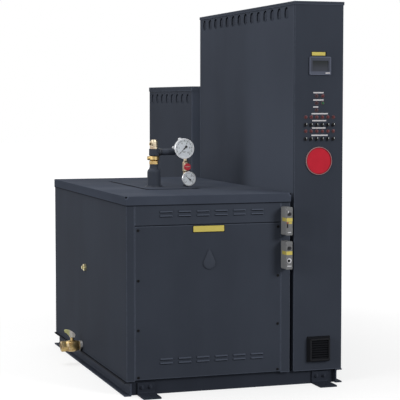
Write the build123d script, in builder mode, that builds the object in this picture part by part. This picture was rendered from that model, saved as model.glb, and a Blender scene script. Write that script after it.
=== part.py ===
from build123d import *
import os
from math import asin, cos, radians, sin

# Electric hot-water boiler on a channel skid: an insulated jacket with the heating elements behind
# its front access panel, a tall control cabinet along its right side and a lower power cabinet
# behind that. Millimetres, +X to the right of the front, +Y to the back, +Z up. The origin is on
# the floor under the middle of the boiler's own skid.

# Skid: outward-facing channel rails along Y, channel beams between them
skid_width = 1190
skid_length = 1630
extension_length = 1012
rail_height = 74
rail_flange = 36
rail_web = 6
rail_lip = 7
rail_radius = 5
beam_setback = 24
cross_width = 60
cross_wall = 5
cross_pitch = 400

# Floor clips: angle feet bolted to the end beams
clip_width = 92
clip_leg = 64
clip_toe = 126
clip_thick = 9
clip_side_offset = 118
clip_bend = 6
anchor_reach = 84
anchor_hole = 18

# Insulated jacket
jacket_inset = 12
jacket_setback = 2
jacket_overhang = 12
panel_thick = 20
front_thick = 25
left_return = 43
right_return = 51
corner_radius = 4
panel_gap = 2.5
return_gap = 1.2
access_clearance = 6
upper_panel_show = 104
access_proud = 1.5
lid_top = 1010
lid_skirt = 48
lid_sheet = 3
lid_fit = 1
lid_notch = 6

# Flanged water connections on the back
supply_level = 760
return_level = 260
water_pipe = 44.5
water_bore = 40
water_reach = 90
water_collar = 62
water_collar_thick = 3
weld_neck = 20
flange_radius = 100
flange_thick = 20
flange_raise = 2
flange_face = 69
flange_pitch_radius = 80
flange_holes = 8
flange_hole_radius = 9

# Pressed louvres in the front panels
louvre_length = 66
louvre_height = 9
louvre_rise = 6
louvre_wall = 1.2
louvre_depth = 8
louvre_mouth = 4
louvre_pitch = 98
louvre_row_pitch = 21
louvre_columns = 6
louvre_rows = 2
louvre_offset = 13
upper_louvre_drop = 46
lower_louvre_rise = 87

# Teardrop pull on the access panel
pull_drop = 196
pull_radius = 33
pull_tip = 80
pull_tip_radius = 6
pull_thick = 5
pull_rim = 6
pull_dish = 3

# Plate over the vessel opening in the lid
service_left = 257
service_front = 500
service_width = 285
service_length = 790
service_thick = 3
service_radius = 12

# Lift-off covers, outlined by grooves
cover_margin = 40
cover_corner = 6
cover_groove = 5

# Tall control cabinet
cabinet_gap = 20
cabinet_width = 274
cabinet_inset = 2
cabinet_short = 74
cabinet_height = 2000
cabinet_front_thick = 18
cap_skirt = 17
cap_sheet = 3
cap_fit = 0.5
vent_count = 14
vent_front = 117
vent_back = 88.9
vent_drop = 60
vent_width = 56
vent_height = 70
vent_depth = 10
vent_gap = 8
vent_press = 4
vent_root = 14

# Lower power cabinet behind it
rear_inset = 12
rear_gap = 131
rear_end_gap = 5
rear_height = 1576
rear_cap_skirt = 28
rear_vent_count = 8
rear_vent_front = 84
rear_vent_pitch = 112
rear_vent_drop = 82
duct_width = 150
duct_height = 150
duct_drop = 246

# Control panel fittings, placed from the cabinet's centre line
panel_offset = 4
bezel_width = 120
bezel_height = 95
bezel_drop = 332.5
bezel_thick = 9
bezel_radius = 7
screen_width = 90
screen_height = 54
screen_recess = 3
screen_thick = 2
lamp_radius = 8.5
lamp_collar = 3
lamp_rise = 8
lamp_rim = 1.5
lamp_pitch = 31
status_pitch = 34
status_drop = 488
status_row = 37
bank_count = 6
bank_drop = 598
bank_row = 73
switch_drop = 39
switch_radius = 9.5
switch_rise = 5
switch_grip = 9
switch_grip_width = 5
medallion_drop = 825
medallion_radius = 73
medallion_thick = 7
medallion_rim = 5

# Fan filter at the foot of the cabinet
grille_width = 132
grille_height = 135
grille_level = 186
grille_rise = 28
grille_taper = 10
grille_frame = 8
grille_pocket = 20
slat_count = 8
slat_thick = 2.2
slat_angle = 35

# Limit controls on the right front return
limit_width = 36
limit_depth = 72
limit_height = 146
limit_drop = 141
limit_pitch = 176
limit_from_edge = 33.5
limit_radius = 5
limit_seam = 22
limit_groove = 1.2
knob_radius = 9
knob_rise = 7
knob_drop = 35

# Nozzle, relief valve and gauge pipework on the lid
nozzle_from_left = 348
trim_from_front = 690
nozzle_radius = 37
nozzle_collar = 46
nozzle_collar_height = 8
nozzle_straight = 80
neck_radius = 24
neck_height = 125
union_hex = 46
union_hex_height = 18
union_body = 30
union_body_height = 30
union_port_radius = 11
union_port_reach = 37
tee_radius = 27
tee_height = 36
pipe_radius = 17.5
riser_from_nozzle = 184
end_tee_radius = 23
end_tee_height = 54
branch_radius = 13
relief_hex_height = 12
relief_hex = 40
relief_radius = 22
relief_height = 30
relief_dome = 8
relief_outlet_radius = 8
relief_outlet_depth = 20
relief_outlet_turn = 60
cock_nipple_radius = 11
cock_radius = 17
cock_height = 64
cock_drop = 24
cock_boss_radius = 13
cock_boss_reach = 20
cock_stem_radius = 5
cock_knob_radius = 20
cock_knob_thick = 14
cock_knob_from_axis = 23
cock_knob_flutes = 8
cock_flute_radius = 3
bushing_height = 10
stem_clearance = 0.08
running_gap = 0.4
riser_radius = 10

# Gauges
gauge_radius = 56.5
gauge_depth = 30
gauge_bezel = 6
gauge_glass = 4
gauge_rise = 19
gauge_gap = 6
gauge_offset = 25
small_radius = 40
small_depth = 20
small_level = 44
small_reach = 43

# Drain valve low on the left side
drain_from_front = 960
drain_rise = 28
drain_nipple_radius = 25
drain_nipple = 5
drain_collar_radius = 27.5
drain_collar = 10
drain_ball_radius = 33
drain_end_radius = 26
drain_reach = 122
drain_hex = 56
drain_hex_length = 26
drain_bore_radius = 19
drain_bore_depth = 24
drain_stem_from_panel = 58
drain_gland_radius = 10
drain_gland_height = 49
drain_stem_radius = 5
lever_heel = 17
lever_heel_rise = 15
lever_reach = 42
lever_rise = 43
lever_tip_depth = 13
lever_foot = 12
lever_width = 24
lever_tip_width = 15
lever_wall = 2.5
lever_thick = 4

# Plug at mid height on the left side
plug_from_front = 861
plug_level = 559
plug_hex = 36
plug_rise = 14
plug_head = 9
plug_head_square = 16

# Lines that several pieces share
skid_front = -skid_length / 2
skid_back = skid_length / 2
skid_end = skid_back + extension_length
left = -skid_width / 2 + jacket_inset
front = skid_front + jacket_setback
back = skid_back + jacket_overhang
sheet_top = lid_top - lid_sheet
web_left = -skid_width / 2 + rail_flange
web_right = skid_width / 2 - rail_flange
beam_front = skid_front + beam_setback
beam_back = skid_back - beam_setback
beam_end = skid_end - beam_setback
access_bottom = rail_height + access_clearance
access_top = lid_top - lid_skirt - upper_panel_show
cab_right = skid_width / 2 - cabinet_inset
cab_left = cab_right - cabinet_width
cab_mid = (cab_left + cab_right) / 2
cab_back = skid_back - cabinet_short
right = cab_left - cabinet_gap
panel_mid = cab_mid + panel_offset
bezel_level = cabinet_height - bezel_drop
medallion_level = cabinet_height - medallion_drop
status_top = cabinet_height - status_drop
rear_left = cab_left - rear_inset
rear_front = cab_back + rear_gap
rear_back = skid_end - rear_end_gap
service_top = lid_top + service_thick
water_x = (left + right) / 2
service_mid_x = left + service_left + service_width / 2
service_mid_y = front + service_front + service_length / 2
nozzle_x = left + nozzle_from_left
trim_y = front + trim_from_front
riser_x = nozzle_x + riser_from_nozzle
gauge_x = riser_x - gauge_offset
pipe_level = service_top + neck_height + union_hex_height + union_body_height + tee_height / 2
drain_y = front + drain_from_front
drain_level = rail_height + drain_rise
drain_stem_x = left - drain_stem_from_panel
up = Vector(0, 0, 1)


def facing(x, y, z, direction):
    """Plane at a point, its local Y up and its normal towards a horizontal direction."""
    normal = Vector(*direction)
    return Plane(origin=(x, y, z), x_dir=up.cross(normal), z_dir=normal)


def column(x0, x1, y0, y1, z0, z1):
    """Upright block between two corners."""
    with BuildPart() as block:
        with BuildSketch(Plane.XY.offset(z0)):
            with Locations(((x0 + x1) / 2, (y0 + y1) / 2)):
                Rectangle(x1 - x0, y1 - y0)
        extrude(amount=z1 - z0)
    return block.part


def channel(origin, towards, length):
    """Channel beam: the web's back at the origin, the flanges pointing in one direction."""
    flanges = Vector(*towards)
    with BuildPart() as beam:
        with BuildSketch(Plane(origin=origin, x_dir=flanges, z_dir=flanges.cross(up))):
            Rectangle(rail_flange, rail_height, align=(Align.MIN, Align.MIN))
            with Locations((rail_web, rail_lip)):
                RectangleRounded(
                    2 * rail_flange,
                    rail_height - 2 * rail_lip,
                    rail_radius,
                    align=(Align.MIN, Align.MIN),
                    mode=Mode.SUBTRACT,
                )
        extrude(amount=length)
    return beam.part


def floor_clip(x, y, direction):
    """Angle foot on a beam's face, its toe on the floor with one anchor hole."""
    out = Vector(0, direction, 0)
    side = x - direction * clip_width / 2
    with BuildPart() as clip:
        with BuildSketch(Plane(origin=(side, y, 0), x_dir=out, z_dir=out.cross(up))):
            with BuildLine():
                Polyline(
                    (0, 0),
                    (clip_toe, 0),
                    (clip_toe, clip_thick),
                    (clip_thick, clip_thick),
                    (clip_thick, clip_leg),
                    (0, clip_leg),
                    close=True,
                )
            make_face()
        extrude(amount=clip_width)
        corner = (x, y + direction * clip_thick, clip_thick)
        bend = clip.edges().filter_by(Axis.X).sort_by_distance(corner)[0]
        fillet(bend, radius=clip_bend)
        with Locations((x, y + direction * anchor_reach, clip_thick)):
            Hole(anchor_hole / 2, depth=clip_thick)
    return clip.part


def louvre_hood():
    """One pressed louvre: length along X, its mouth down, standing out of the sheet along +Z."""
    with BuildPart() as hood:
        with BuildSketch(Plane.YZ):
            with BuildLine():
                Line((0, 0), (0, louvre_rise))
                ThreePointArc(
                    (0, louvre_rise),
                    (louvre_height * 0.62, louvre_rise * 0.74),
                    (louvre_height, 0),
                )
                Line((louvre_height, 0), (0, 0))
            make_face()
        extrude(amount=louvre_length / 2, both=True)
        with BuildSketch(Plane.YZ):
            with BuildLine():
                Line((0, 0), (0, louvre_rise - louvre_wall))
                ThreePointArc(
                    (0, louvre_rise - louvre_wall),
                    (louvre_height * 0.62 - louvre_wall, louvre_rise * 0.74 - louvre_wall),
                    (louvre_height - 2 * louvre_wall, 0),
                )
                Line((louvre_height - 2 * louvre_wall, 0), (0, 0))
            make_face()
        extrude(amount=louvre_length / 2 - louvre_wall, both=True, mode=Mode.SUBTRACT)
    return hood.part


def louvre_slot():
    """Cut through the sheet behind one louvre and a little below its lip."""
    with BuildPart() as slot:
        with BuildSketch(Plane.XY.offset(-louvre_depth)):
            with Locations((0, -louvre_mouth)):
                Rectangle(
                    louvre_length - 2 * louvre_wall,
                    louvre_height - 2 * louvre_wall + louvre_mouth,
                    align=(Align.CENTER, Align.MIN),
                )
        extrude(amount=louvre_depth)
    return slot.part


def pan(x0, x1, y0, y1, top, skirt, sheet, fit):
    """Folded cover over a box: flat top, skirt all round."""
    over = fit + sheet
    with BuildPart() as cover:
        with BuildSketch(Plane.XY.offset(top - skirt)):
            with Locations(((x0 + x1) / 2, (y0 + y1) / 2)):
                RectangleRounded(x1 - x0 + 2 * over, y1 - y0 + 2 * over, corner_radius)
        extrude(amount=skirt)
        fillet(cover.faces().sort_by(Axis.Z)[-1].edges(), radius=sheet * 0.8)
        add(column(x0 - fit, x1 + fit, y0 - fit, y1 + fit, top - skirt, top - sheet), mode=Mode.SUBTRACT)
    return cover.part


def vent():
    """One vent: an arched gap round a tongue that is pressed in and rooted at its foot."""
    tongue_height = vent_height - 2 * vent_gap
    tongue_width = vent_width - 2 * vent_gap
    with BuildPart() as opening:
        with BuildSketch(Plane.XY.offset(-vent_depth)):
            SlotOverall(vent_height, vent_width, rotation=90)
            SlotOverall(tongue_height, tongue_width, rotation=90, mode=Mode.SUBTRACT)
            with Locations((0, -vent_height / 2)):
                Rectangle(
                    tongue_width,
                    vent_gap + vent_root,
                    align=(Align.CENTER, Align.MIN),
                    mode=Mode.SUBTRACT,
                )
        extrude(amount=vent_depth)
        with BuildSketch(Plane.XY.offset(-vent_press)):
            SlotOverall(tongue_height, tongue_width, rotation=90)
        extrude(amount=vent_press)
    return opening.part


def cover_seam(width, height):
    """Groove that outlines a lift-off cover, about the origin."""
    with BuildPart() as groove:
        with BuildSketch(Plane.XY.offset(-cover_groove)):
            RectangleRounded(width, height, cover_corner)
            RectangleRounded(
                width - 2 * panel_gap, height - 2 * panel_gap, cover_corner - panel_gap, mode=Mode.SUBTRACT
            )
        extrude(amount=cover_groove)
    return groove.part


def gauge_case(radius, depth):
    """Round gauge case seen from its dial side: bezel, recessed face, back at the plane."""
    with BuildPart() as case:
        with BuildSketch(Plane.XZ):
            with BuildLine():
                Polyline(
                    (0, 0),
                    (radius - gauge_bezel, 0),
                    (radius - gauge_bezel * 0.5, depth * 0.12),
                    (radius - gauge_bezel * 0.5, depth * 0.55),
                    (radius, depth * 0.6),
                    (radius, depth - 1.5),
                    (radius - 1.5, depth),
                    (radius - gauge_bezel + 1, depth),
                    (radius - gauge_bezel, depth - gauge_glass),
                    (0, depth - gauge_glass),
                    close=True,
                )
            make_face()
        revolve(axis=Axis.Z)
    return case.part


def hexagon(flats, height):
    """Hexagon across flats with its corners chamfered by a cone at the top."""
    with BuildPart() as nut:
        with BuildSketch():
            RegularPolygon(flats / 2, 6, major_radius=False)
        extrude(amount=height)
        with BuildSketch(Plane.XZ):
            with BuildLine():
                Polyline(
                    (0, 0),
                    (flats * 0.6, 0),
                    (flats * 0.6, height - flats * 0.06),
                    (flats * 0.49, height),
                    (0, height),
                    close=True,
                )
            make_face()
        revolve(axis=Axis.Z, mode=Mode.INTERSECT)
    return nut.part


os.makedirs("parts", exist_ok=True)

# Skid
with BuildPart() as skid_rail_left:
    add(channel((web_left, skid_front, 0), (-1, 0, 0), skid_length))
skid_rail_left.part.label = "skid_rail_left"
export_step(skid_rail_left.part, "parts/skid_rail_left.step")

with BuildPart() as skid_rail_right:
    add(channel((web_right, skid_end, 0), (1, 0, 0), skid_length + extension_length))
skid_rail_right.part.label = "skid_rail_right"
export_step(skid_rail_right.part, "parts/skid_rail_right.step")

with BuildPart() as skid_beam_front:
    add(channel((web_left, beam_front, 0), (0, 1, 0), web_right - web_left))
skid_beam_front.part.label = "skid_beam_front"
export_step(skid_beam_front.part, "parts/skid_beam_front.step")

with BuildPart() as skid_beam_rear:
    add(channel((web_right, beam_back, 0), (0, -1, 0), web_right - web_left))
skid_beam_rear.part.label = "skid_beam_rear"
export_step(skid_beam_rear.part, "parts/skid_beam_rear.step")

# Square tubes across the skid under the jacket
with BuildPart() as skid_cross_members:
    with BuildSketch(Plane(origin=(web_left, 0, rail_height / 2), x_dir=(0, 1, 0), z_dir=(1, 0, 0))):
        with GridLocations(cross_pitch, rail_height, 3, 1):
            Rectangle(cross_width, rail_height)
        with GridLocations(cross_pitch, rail_height, 3, 1):
            Rectangle(cross_width - 2 * cross_wall, rail_height - 2 * cross_wall, mode=Mode.SUBTRACT)
    extrude(amount=web_right - web_left)
skid_cross_members.part.label = "skid_cross_members"
export_step(skid_cross_members.part, "parts/skid_cross_members.step")

# Rail and end beam that carry the power cabinet behind the boiler
with BuildPart() as skid_rail_inner:
    add(channel((rear_left + rail_flange, beam_back, 0), (-1, 0, 0), skid_end - beam_back))
skid_rail_inner.part.label = "skid_rail_inner"
export_step(skid_rail_inner.part, "parts/skid_rail_inner.step")

with BuildPart() as skid_beam_end:
    add(channel((web_right, beam_end, 0), (0, -1, 0), web_right - rear_left - rail_flange))
skid_beam_end.part.label = "skid_beam_end"
export_step(skid_beam_end.part, "parts/skid_beam_end.step")

clip_left_x = -skid_width / 2 + clip_side_offset
clip_right_x = skid_width / 2 - clip_side_offset
with BuildPart() as floor_clips_front:
    add(floor_clip(clip_left_x, beam_front, -1))
    add(floor_clip(clip_right_x, beam_front, -1))
floor_clips_front.part.label = "floor_clips_front"
export_step(floor_clips_front.part, "parts/floor_clips_front.step")

with BuildPart() as floor_clips_rear:
    add(floor_clip(clip_left_x, beam_back, 1))
    add(floor_clip(clip_right_x, beam_end, 1))
floor_clips_rear.part.label = "floor_clips_rear"
export_step(floor_clips_rear.part, "parts/floor_clips_rear.step")

# Insulated vessel block inside the jacket
with BuildPart() as vessel_block:
    add(
        column(
            left + panel_thick,
            right - panel_thick,
            front + front_thick,
            back - panel_thick,
            rail_height,
            sheet_top,
        )
    )
vessel_block.part.label = "vessel_block"
export_step(vessel_block.part, "parts/vessel_block.step")

# Side panels, folded round the front corners
with BuildPart() as side_panel_left:
    add(column(left, left + panel_thick, front, back, rail_height, sheet_top))
    add(column(left, left + left_return, front, front + front_thick, rail_height, sheet_top))
    upright = side_panel_left.edges().filter_by(Axis.Z)
    fillet(upright.sort_by_distance((left, front, lid_top / 2))[0], radius=corner_radius)
side_panel_left.part.label = "side_panel_left"
export_step(side_panel_left.part, "parts/side_panel_left.step")

with BuildPart() as side_panel_right:
    add(column(right - panel_thick, right, front, back, rail_height, sheet_top))
    add(column(right - right_return, right, front, front + front_thick, rail_height, sheet_top))
    upright = side_panel_right.edges().filter_by(Axis.Z)
    fillet(upright.sort_by_distance((right, front, lid_top / 2))[0], radius=corner_radius)
side_panel_right.part.label = "side_panel_right"
export_step(side_panel_right.part, "parts/side_panel_right.step")

with BuildPart() as rear_panel:
    add(column(left + panel_thick, right - panel_thick, back - panel_thick, back, rail_height, sheet_top))
rear_panel.part.label = "rear_panel"
export_step(rear_panel.part, "parts/rear_panel.step")

# Flanged water connections on the back, each bored through to the jacket
with BuildPart() as water_connections:
    for level in (supply_level, return_level):
        with BuildSketch(Plane(origin=(water_x, back, level), x_dir=(1, 0, 0), z_dir=(0, 0, 1))):
            with BuildLine():
                Polyline(
                    (water_bore, 0),
                    (water_collar, 0),
                    (water_collar, water_collar_thick),
                    (water_pipe, water_collar_thick),
                    (water_pipe, water_reach - flange_thick - weld_neck),
                    (water_pipe + weld_neck * 0.4, water_reach - flange_thick),
                    (flange_radius, water_reach - flange_thick),
                    (flange_radius, water_reach - flange_raise),
                    (flange_face, water_reach - flange_raise),
                    (flange_face, water_reach),
                    (water_bore, water_reach),
                    close=True,
                )
            make_face()
        revolve(axis=Axis((water_x, back, level), (0, 1, 0)))
        with BuildSketch(facing(water_x, back + water_reach, level, (0, 1, 0))):
            with PolarLocations(flange_pitch_radius, flange_holes, start_angle=180 / flange_holes):
                Circle(flange_hole_radius)
        extrude(amount=-flange_thick - flange_raise, mode=Mode.SUBTRACT)
water_connections.part.label = "water_connections"
export_step(water_connections.part, "parts/water_connections.step")

# Front panels with their louvres
front_left = left + left_return + return_gap
front_right = right - right_return - return_gap
louvre_mid = (left + right) / 2 + louvre_offset
upper_louvre_level = lid_top - lid_skirt - upper_louvre_drop
lower_louvre_level = access_bottom + lower_louvre_rise
with BuildPart() as upper_front_panel:
    add(column(front_left, front_right, front, front + front_thick, access_top + panel_gap, sheet_top))
    with Locations(facing(louvre_mid, front, upper_louvre_level, (0, -1, 0))):
        with GridLocations(louvre_pitch, louvre_row_pitch, louvre_columns, louvre_rows):
            add(louvre_slot(), mode=Mode.SUBTRACT)
    with Locations(facing(louvre_mid, front, upper_louvre_level, (0, -1, 0))):
        with GridLocations(louvre_pitch, louvre_row_pitch, louvre_columns, louvre_rows):
            add(louvre_hood())
upper_front_panel.part.label = "upper_front_panel"
export_step(upper_front_panel.part, "parts/upper_front_panel.step")

access_face = front - access_proud
with BuildPart() as access_panel:
    add(column(front_left, front_right, access_face, front + front_thick, access_bottom, access_top))
    fillet(access_panel.faces().sort_by(Axis.Y)[0].edges(), radius=access_proud * 0.9)
    with Locations(facing(louvre_mid, access_face, lower_louvre_level, (0, -1, 0))):
        with GridLocations(louvre_pitch, louvre_row_pitch, louvre_columns, louvre_rows):
            add(louvre_slot(), mode=Mode.SUBTRACT)
    with Locations(facing(louvre_mid, access_face, lower_louvre_level, (0, -1, 0))):
        with GridLocations(louvre_pitch, louvre_row_pitch, louvre_columns, louvre_rows):
            add(louvre_hood())
access_panel.part.label = "access_panel"
export_step(access_panel.part, "parts/access_panel.step")

# Teardrop pull: round below, drawn to a point above, with a dished face
pull_x = (front_left + front_right) / 2
tangent_z = pull_radius**2 / pull_tip
tangent_x = (pull_radius**2 - tangent_z**2) ** 0.5
with BuildPart() as panel_pull:
    with BuildSketch(facing(pull_x, access_face, access_top - pull_drop, (0, -1, 0))) as teardrop:
        with BuildLine():
            Polyline((tangent_x, tangent_z), (0, pull_tip), (-tangent_x, tangent_z))
            ThreePointArc((-tangent_x, tangent_z), (0, -pull_radius), (tangent_x, tangent_z))
        make_face()
        fillet(teardrop.vertices().group_by(Axis.Y)[-1], radius=pull_tip_radius)
    extrude(amount=pull_thick)
    chamfer(panel_pull.faces().sort_by(Axis.Y)[0].edges(), length=pull_thick * 0.3)
    with BuildSketch(facing(pull_x, access_face - pull_thick, access_top - pull_drop, (0, -1, 0))):
        Circle(pull_radius - pull_rim)
    extrude(amount=-pull_dish, taper=30, mode=Mode.SUBTRACT)
panel_pull.part.label = "panel_pull"
export_step(panel_pull.part, "parts/panel_pull.step")

# Lid and the plate over the vessel opening
with BuildPart() as lid:
    add(pan(left, right, front, back, lid_top, lid_skirt, lid_sheet, lid_fit))
    lid_over = lid_sheet + lid_fit
    for corner_x in (left - lid_over, right + lid_over):
        for corner_y in (front - lid_over, back + lid_over):
            with Locations((corner_x, corner_y, lid_top)):
                Sphere(lid_notch, mode=Mode.SUBTRACT)
lid.part.label = "lid"
export_step(lid.part, "parts/lid.step")

with BuildPart() as service_plate:
    with BuildSketch(Plane.XY.offset(lid_top)):
        with Locations((service_mid_x, service_mid_y)):
            RectangleRounded(service_width, service_length, service_radius)
    extrude(amount=service_thick)
    chamfer(service_plate.faces().sort_by(Axis.Z)[-1].edges(), length=service_thick * 0.4)
service_plate.part.label = "service_plate"
export_step(service_plate.part, "parts/service_plate.step")

# Tall control cabinet, vented along both long sides
with BuildPart() as cabinet_body:
    body_front = front + cabinet_front_thick
    add(column(cab_left, cab_right, body_front, cab_back, rail_height, cabinet_height - cap_sheet))
    vent_pitch = (cab_back - front - vent_front - vent_back) / (vent_count - 1)
    vent_mid = front + vent_front + vent_pitch * (vent_count - 1) / 2
    for side_x, outward in ((cab_left, -1), (cab_right, 1)):
        with Locations(facing(side_x, vent_mid, cabinet_height - vent_drop, (outward, 0, 0))):
            with GridLocations(vent_pitch, vent_height, vent_count, 1):
                add(vent(), mode=Mode.SUBTRACT)
    cover_low = rail_height + cover_margin
    cover_high = cabinet_height - vent_drop - vent_height / 2 - cover_margin
    cover_width = (cab_back - body_front - 3 * cover_margin) / 2
    with Locations(facing(cab_right, (body_front + cab_back) / 2, (cover_low + cover_high) / 2, (1, 0, 0))):
        with GridLocations(cover_width + cover_margin, 1, 2, 1):
            add(cover_seam(cover_width, cover_high - cover_low), mode=Mode.SUBTRACT)
cabinet_body.part.label = "cabinet_body"
export_step(cabinet_body.part, "parts/cabinet_body.step")

with BuildPart() as cabinet_front:
    add(column(cab_left, cab_right, front, body_front, rail_height, cabinet_height - cap_sheet))
    front_corners = cabinet_front.edges().filter_by(Axis.Z).group_by(Axis.Y)[0]
    fillet(front_corners, radius=corner_radius)
cabinet_front.part.label = "cabinet_front"
export_step(cabinet_front.part, "parts/cabinet_front.step")

with BuildPart() as cabinet_cap:
    add(pan(cab_left, cab_right, front, cab_back, cabinet_height, cap_skirt, cap_sheet, cap_fit))
cabinet_cap.part.label = "cabinet_cap"
export_step(cabinet_cap.part, "parts/cabinet_cap.step")

# Power cabinet and the wireway between the cabinets
with BuildPart() as rear_cabinet:
    add(column(rear_left, cab_right, rear_front, rear_back, rail_height, rear_height - cap_sheet))
    fillet(rear_cabinet.edges().filter_by(Axis.Z).group_by(Axis.Y)[0], radius=corner_radius)
    rear_vent_mid = rear_front + rear_vent_front + rear_vent_pitch * (rear_vent_count - 1) / 2
    with Locations(facing(rear_left, rear_vent_mid, rear_height - rear_vent_drop, (-1, 0, 0))):
        with GridLocations(rear_vent_pitch, vent_height, rear_vent_count, 1):
            add(vent(), mode=Mode.SUBTRACT)
    rear_cover_top = rear_height - rear_cap_skirt - cover_margin
    rear_cover_level = (rail_height + cover_margin + rear_cover_top) / 2
    rear_cover_tall = rear_cover_top - rail_height - cover_margin
    with Locations(facing(cab_right, (rear_front + rear_back) / 2, rear_cover_level, (1, 0, 0))):
        add(cover_seam(rear_back - rear_front - 2 * cover_margin, rear_cover_tall), mode=Mode.SUBTRACT)
    with Locations(facing((rear_left + cab_right) / 2, rear_back, rear_cover_level, (0, 1, 0))):
        add(cover_seam(cab_right - rear_left - 2 * cover_margin, rear_cover_tall), mode=Mode.SUBTRACT)
rear_cabinet.part.label = "rear_cabinet"
export_step(rear_cabinet.part, "parts/rear_cabinet.step")

with BuildPart() as rear_cabinet_cap:
    add(pan(rear_left, cab_right, rear_front, rear_back, rear_height, rear_cap_skirt, cap_sheet, cap_fit))
rear_cabinet_cap.part.label = "rear_cabinet_cap"
export_step(rear_cabinet_cap.part, "parts/rear_cabinet_cap.step")

with BuildPart() as wireway:
    with BuildSketch(facing(cab_mid, cab_back, rear_height - duct_drop, (0, 1, 0))):
        RectangleRounded(duct_width, duct_height, corner_radius)
    extrude(amount=rear_gap)
wireway.part.label = "wireway"
export_step(wireway.part, "parts/wireway.step")

# Display with its recessed screen
with BuildPart() as display_bezel:
    with BuildSketch(facing(panel_mid, front, bezel_level, (0, -1, 0))):
        RectangleRounded(bezel_width, bezel_height, bezel_radius)
    extrude(amount=bezel_thick)
    chamfer(display_bezel.faces().sort_by(Axis.Y)[0].edges(), length=bezel_thick * 0.25)
    with BuildSketch(facing(panel_mid, front - bezel_thick, bezel_level, (0, -1, 0))):
        Rectangle(screen_width, screen_height)
    extrude(amount=-screen_recess - screen_thick, mode=Mode.SUBTRACT)
display_bezel.part.label = "display_bezel"
export_step(display_bezel.part, "parts/display_bezel.step")

with BuildPart() as display_screen:
    screen_back = front - bezel_thick + screen_recess + screen_thick
    with BuildSketch(facing(panel_mid, screen_back, bezel_level, (0, -1, 0))):
        Rectangle(screen_width, screen_height)
    extrude(amount=screen_thick)
display_screen.part.label = "display_screen"
export_step(display_screen.part, "parts/display_screen.step")


def lamp():
    """Indicator lamp: collar and domed lens, standing out along +Z."""
    seat = lamp_radius - lamp_rim
    dome = lamp_rise - lamp_collar
    ball = (seat**2 + dome**2) / (2 * dome)
    half = asin(seat / ball) / 2
    with BuildPart() as lens:
        with BuildSketch(Plane.XZ):
            with BuildLine():
                Polyline(
                    (0, lamp_rise),
                    (0, 0),
                    (lamp_radius, 0),
                    (lamp_radius, lamp_collar),
                    (seat, lamp_collar),
                )
                ThreePointArc(
                    (seat, lamp_collar),
                    (ball * sin(half), lamp_rise - ball + ball * cos(half)),
                    (0, lamp_rise),
                )
            make_face()
        revolve(axis=Axis.Z)
    return lens.part


# Rows of indicator lamps and selector switches
bank_mid = cabinet_height - bank_drop - bank_row / 2
with BuildPart() as lamps_red:
    with Locations(facing(panel_mid, front, bank_mid, (0, -1, 0))):
        with GridLocations(lamp_pitch, bank_row, bank_count, 2):
            add(lamp())
    with Locations(facing(panel_mid + status_pitch / 2, front, status_top, (0, -1, 0))):
        add(lamp())
lamps_red.part.label = "lamps_red"
export_step(lamps_red.part, "parts/lamps_red.step")

with BuildPart() as lamps_dark:
    for row in range(3):
        level = status_top - row * status_row
        with Locations(facing(panel_mid - status_pitch / 2, front, level, (0, -1, 0))):
            add(lamp())
lamps_dark.part.label = "lamps_dark"
export_step(lamps_dark.part, "parts/lamps_dark.step")

with BuildPart() as lamp_green:
    with Locations(facing(panel_mid + status_pitch / 2, front, status_top - status_row, (0, -1, 0))):
        add(lamp())
lamp_green.part.label = "lamp_green"
export_step(lamp_green.part, "parts/lamp_green.step")

with BuildPart() as selector_switches:
    with BuildSketch(facing(panel_mid, front, bank_mid - switch_drop, (0, -1, 0))):
        with GridLocations(lamp_pitch, bank_row, bank_count, 2):
            Circle(switch_radius)
    extrude(amount=switch_rise)
    with BuildSketch(facing(panel_mid, front - switch_rise, bank_mid - switch_drop, (0, -1, 0))):
        with GridLocations(lamp_pitch, bank_row, bank_count, 2):
            SlotOverall(2 * switch_radius - 2, switch_grip_width, rotation=90)
    extrude(amount=switch_grip)
selector_switches.part.label = "selector_switches"
export_step(selector_switches.part, "parts/selector_switches.step")

# Plain round medallion with a raised rim and one raised ring
with BuildPart() as medallion:
    disc_centre = (panel_mid - panel_offset, front, medallion_level)
    with BuildSketch(Plane(origin=disc_centre, x_dir=(1, 0, 0), z_dir=(0, 0, 1))):
        with BuildLine():
            Polyline(
                (0, 0),
                (medallion_radius, 0),
                (medallion_radius, -medallion_thick * 0.8),
                (medallion_radius - 1.5, -medallion_thick),
                (medallion_radius - medallion_rim, -medallion_thick),
                (medallion_radius - medallion_rim - 1, -medallion_thick * 0.55),
                (0, -medallion_thick * 0.55),
                close=True,
            )
        make_face()
    revolve(axis=Axis((panel_mid - panel_offset, front, medallion_level), (0, 1, 0)))
medallion.part.label = "medallion"
export_step(medallion.part, "parts/medallion.step")

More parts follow.
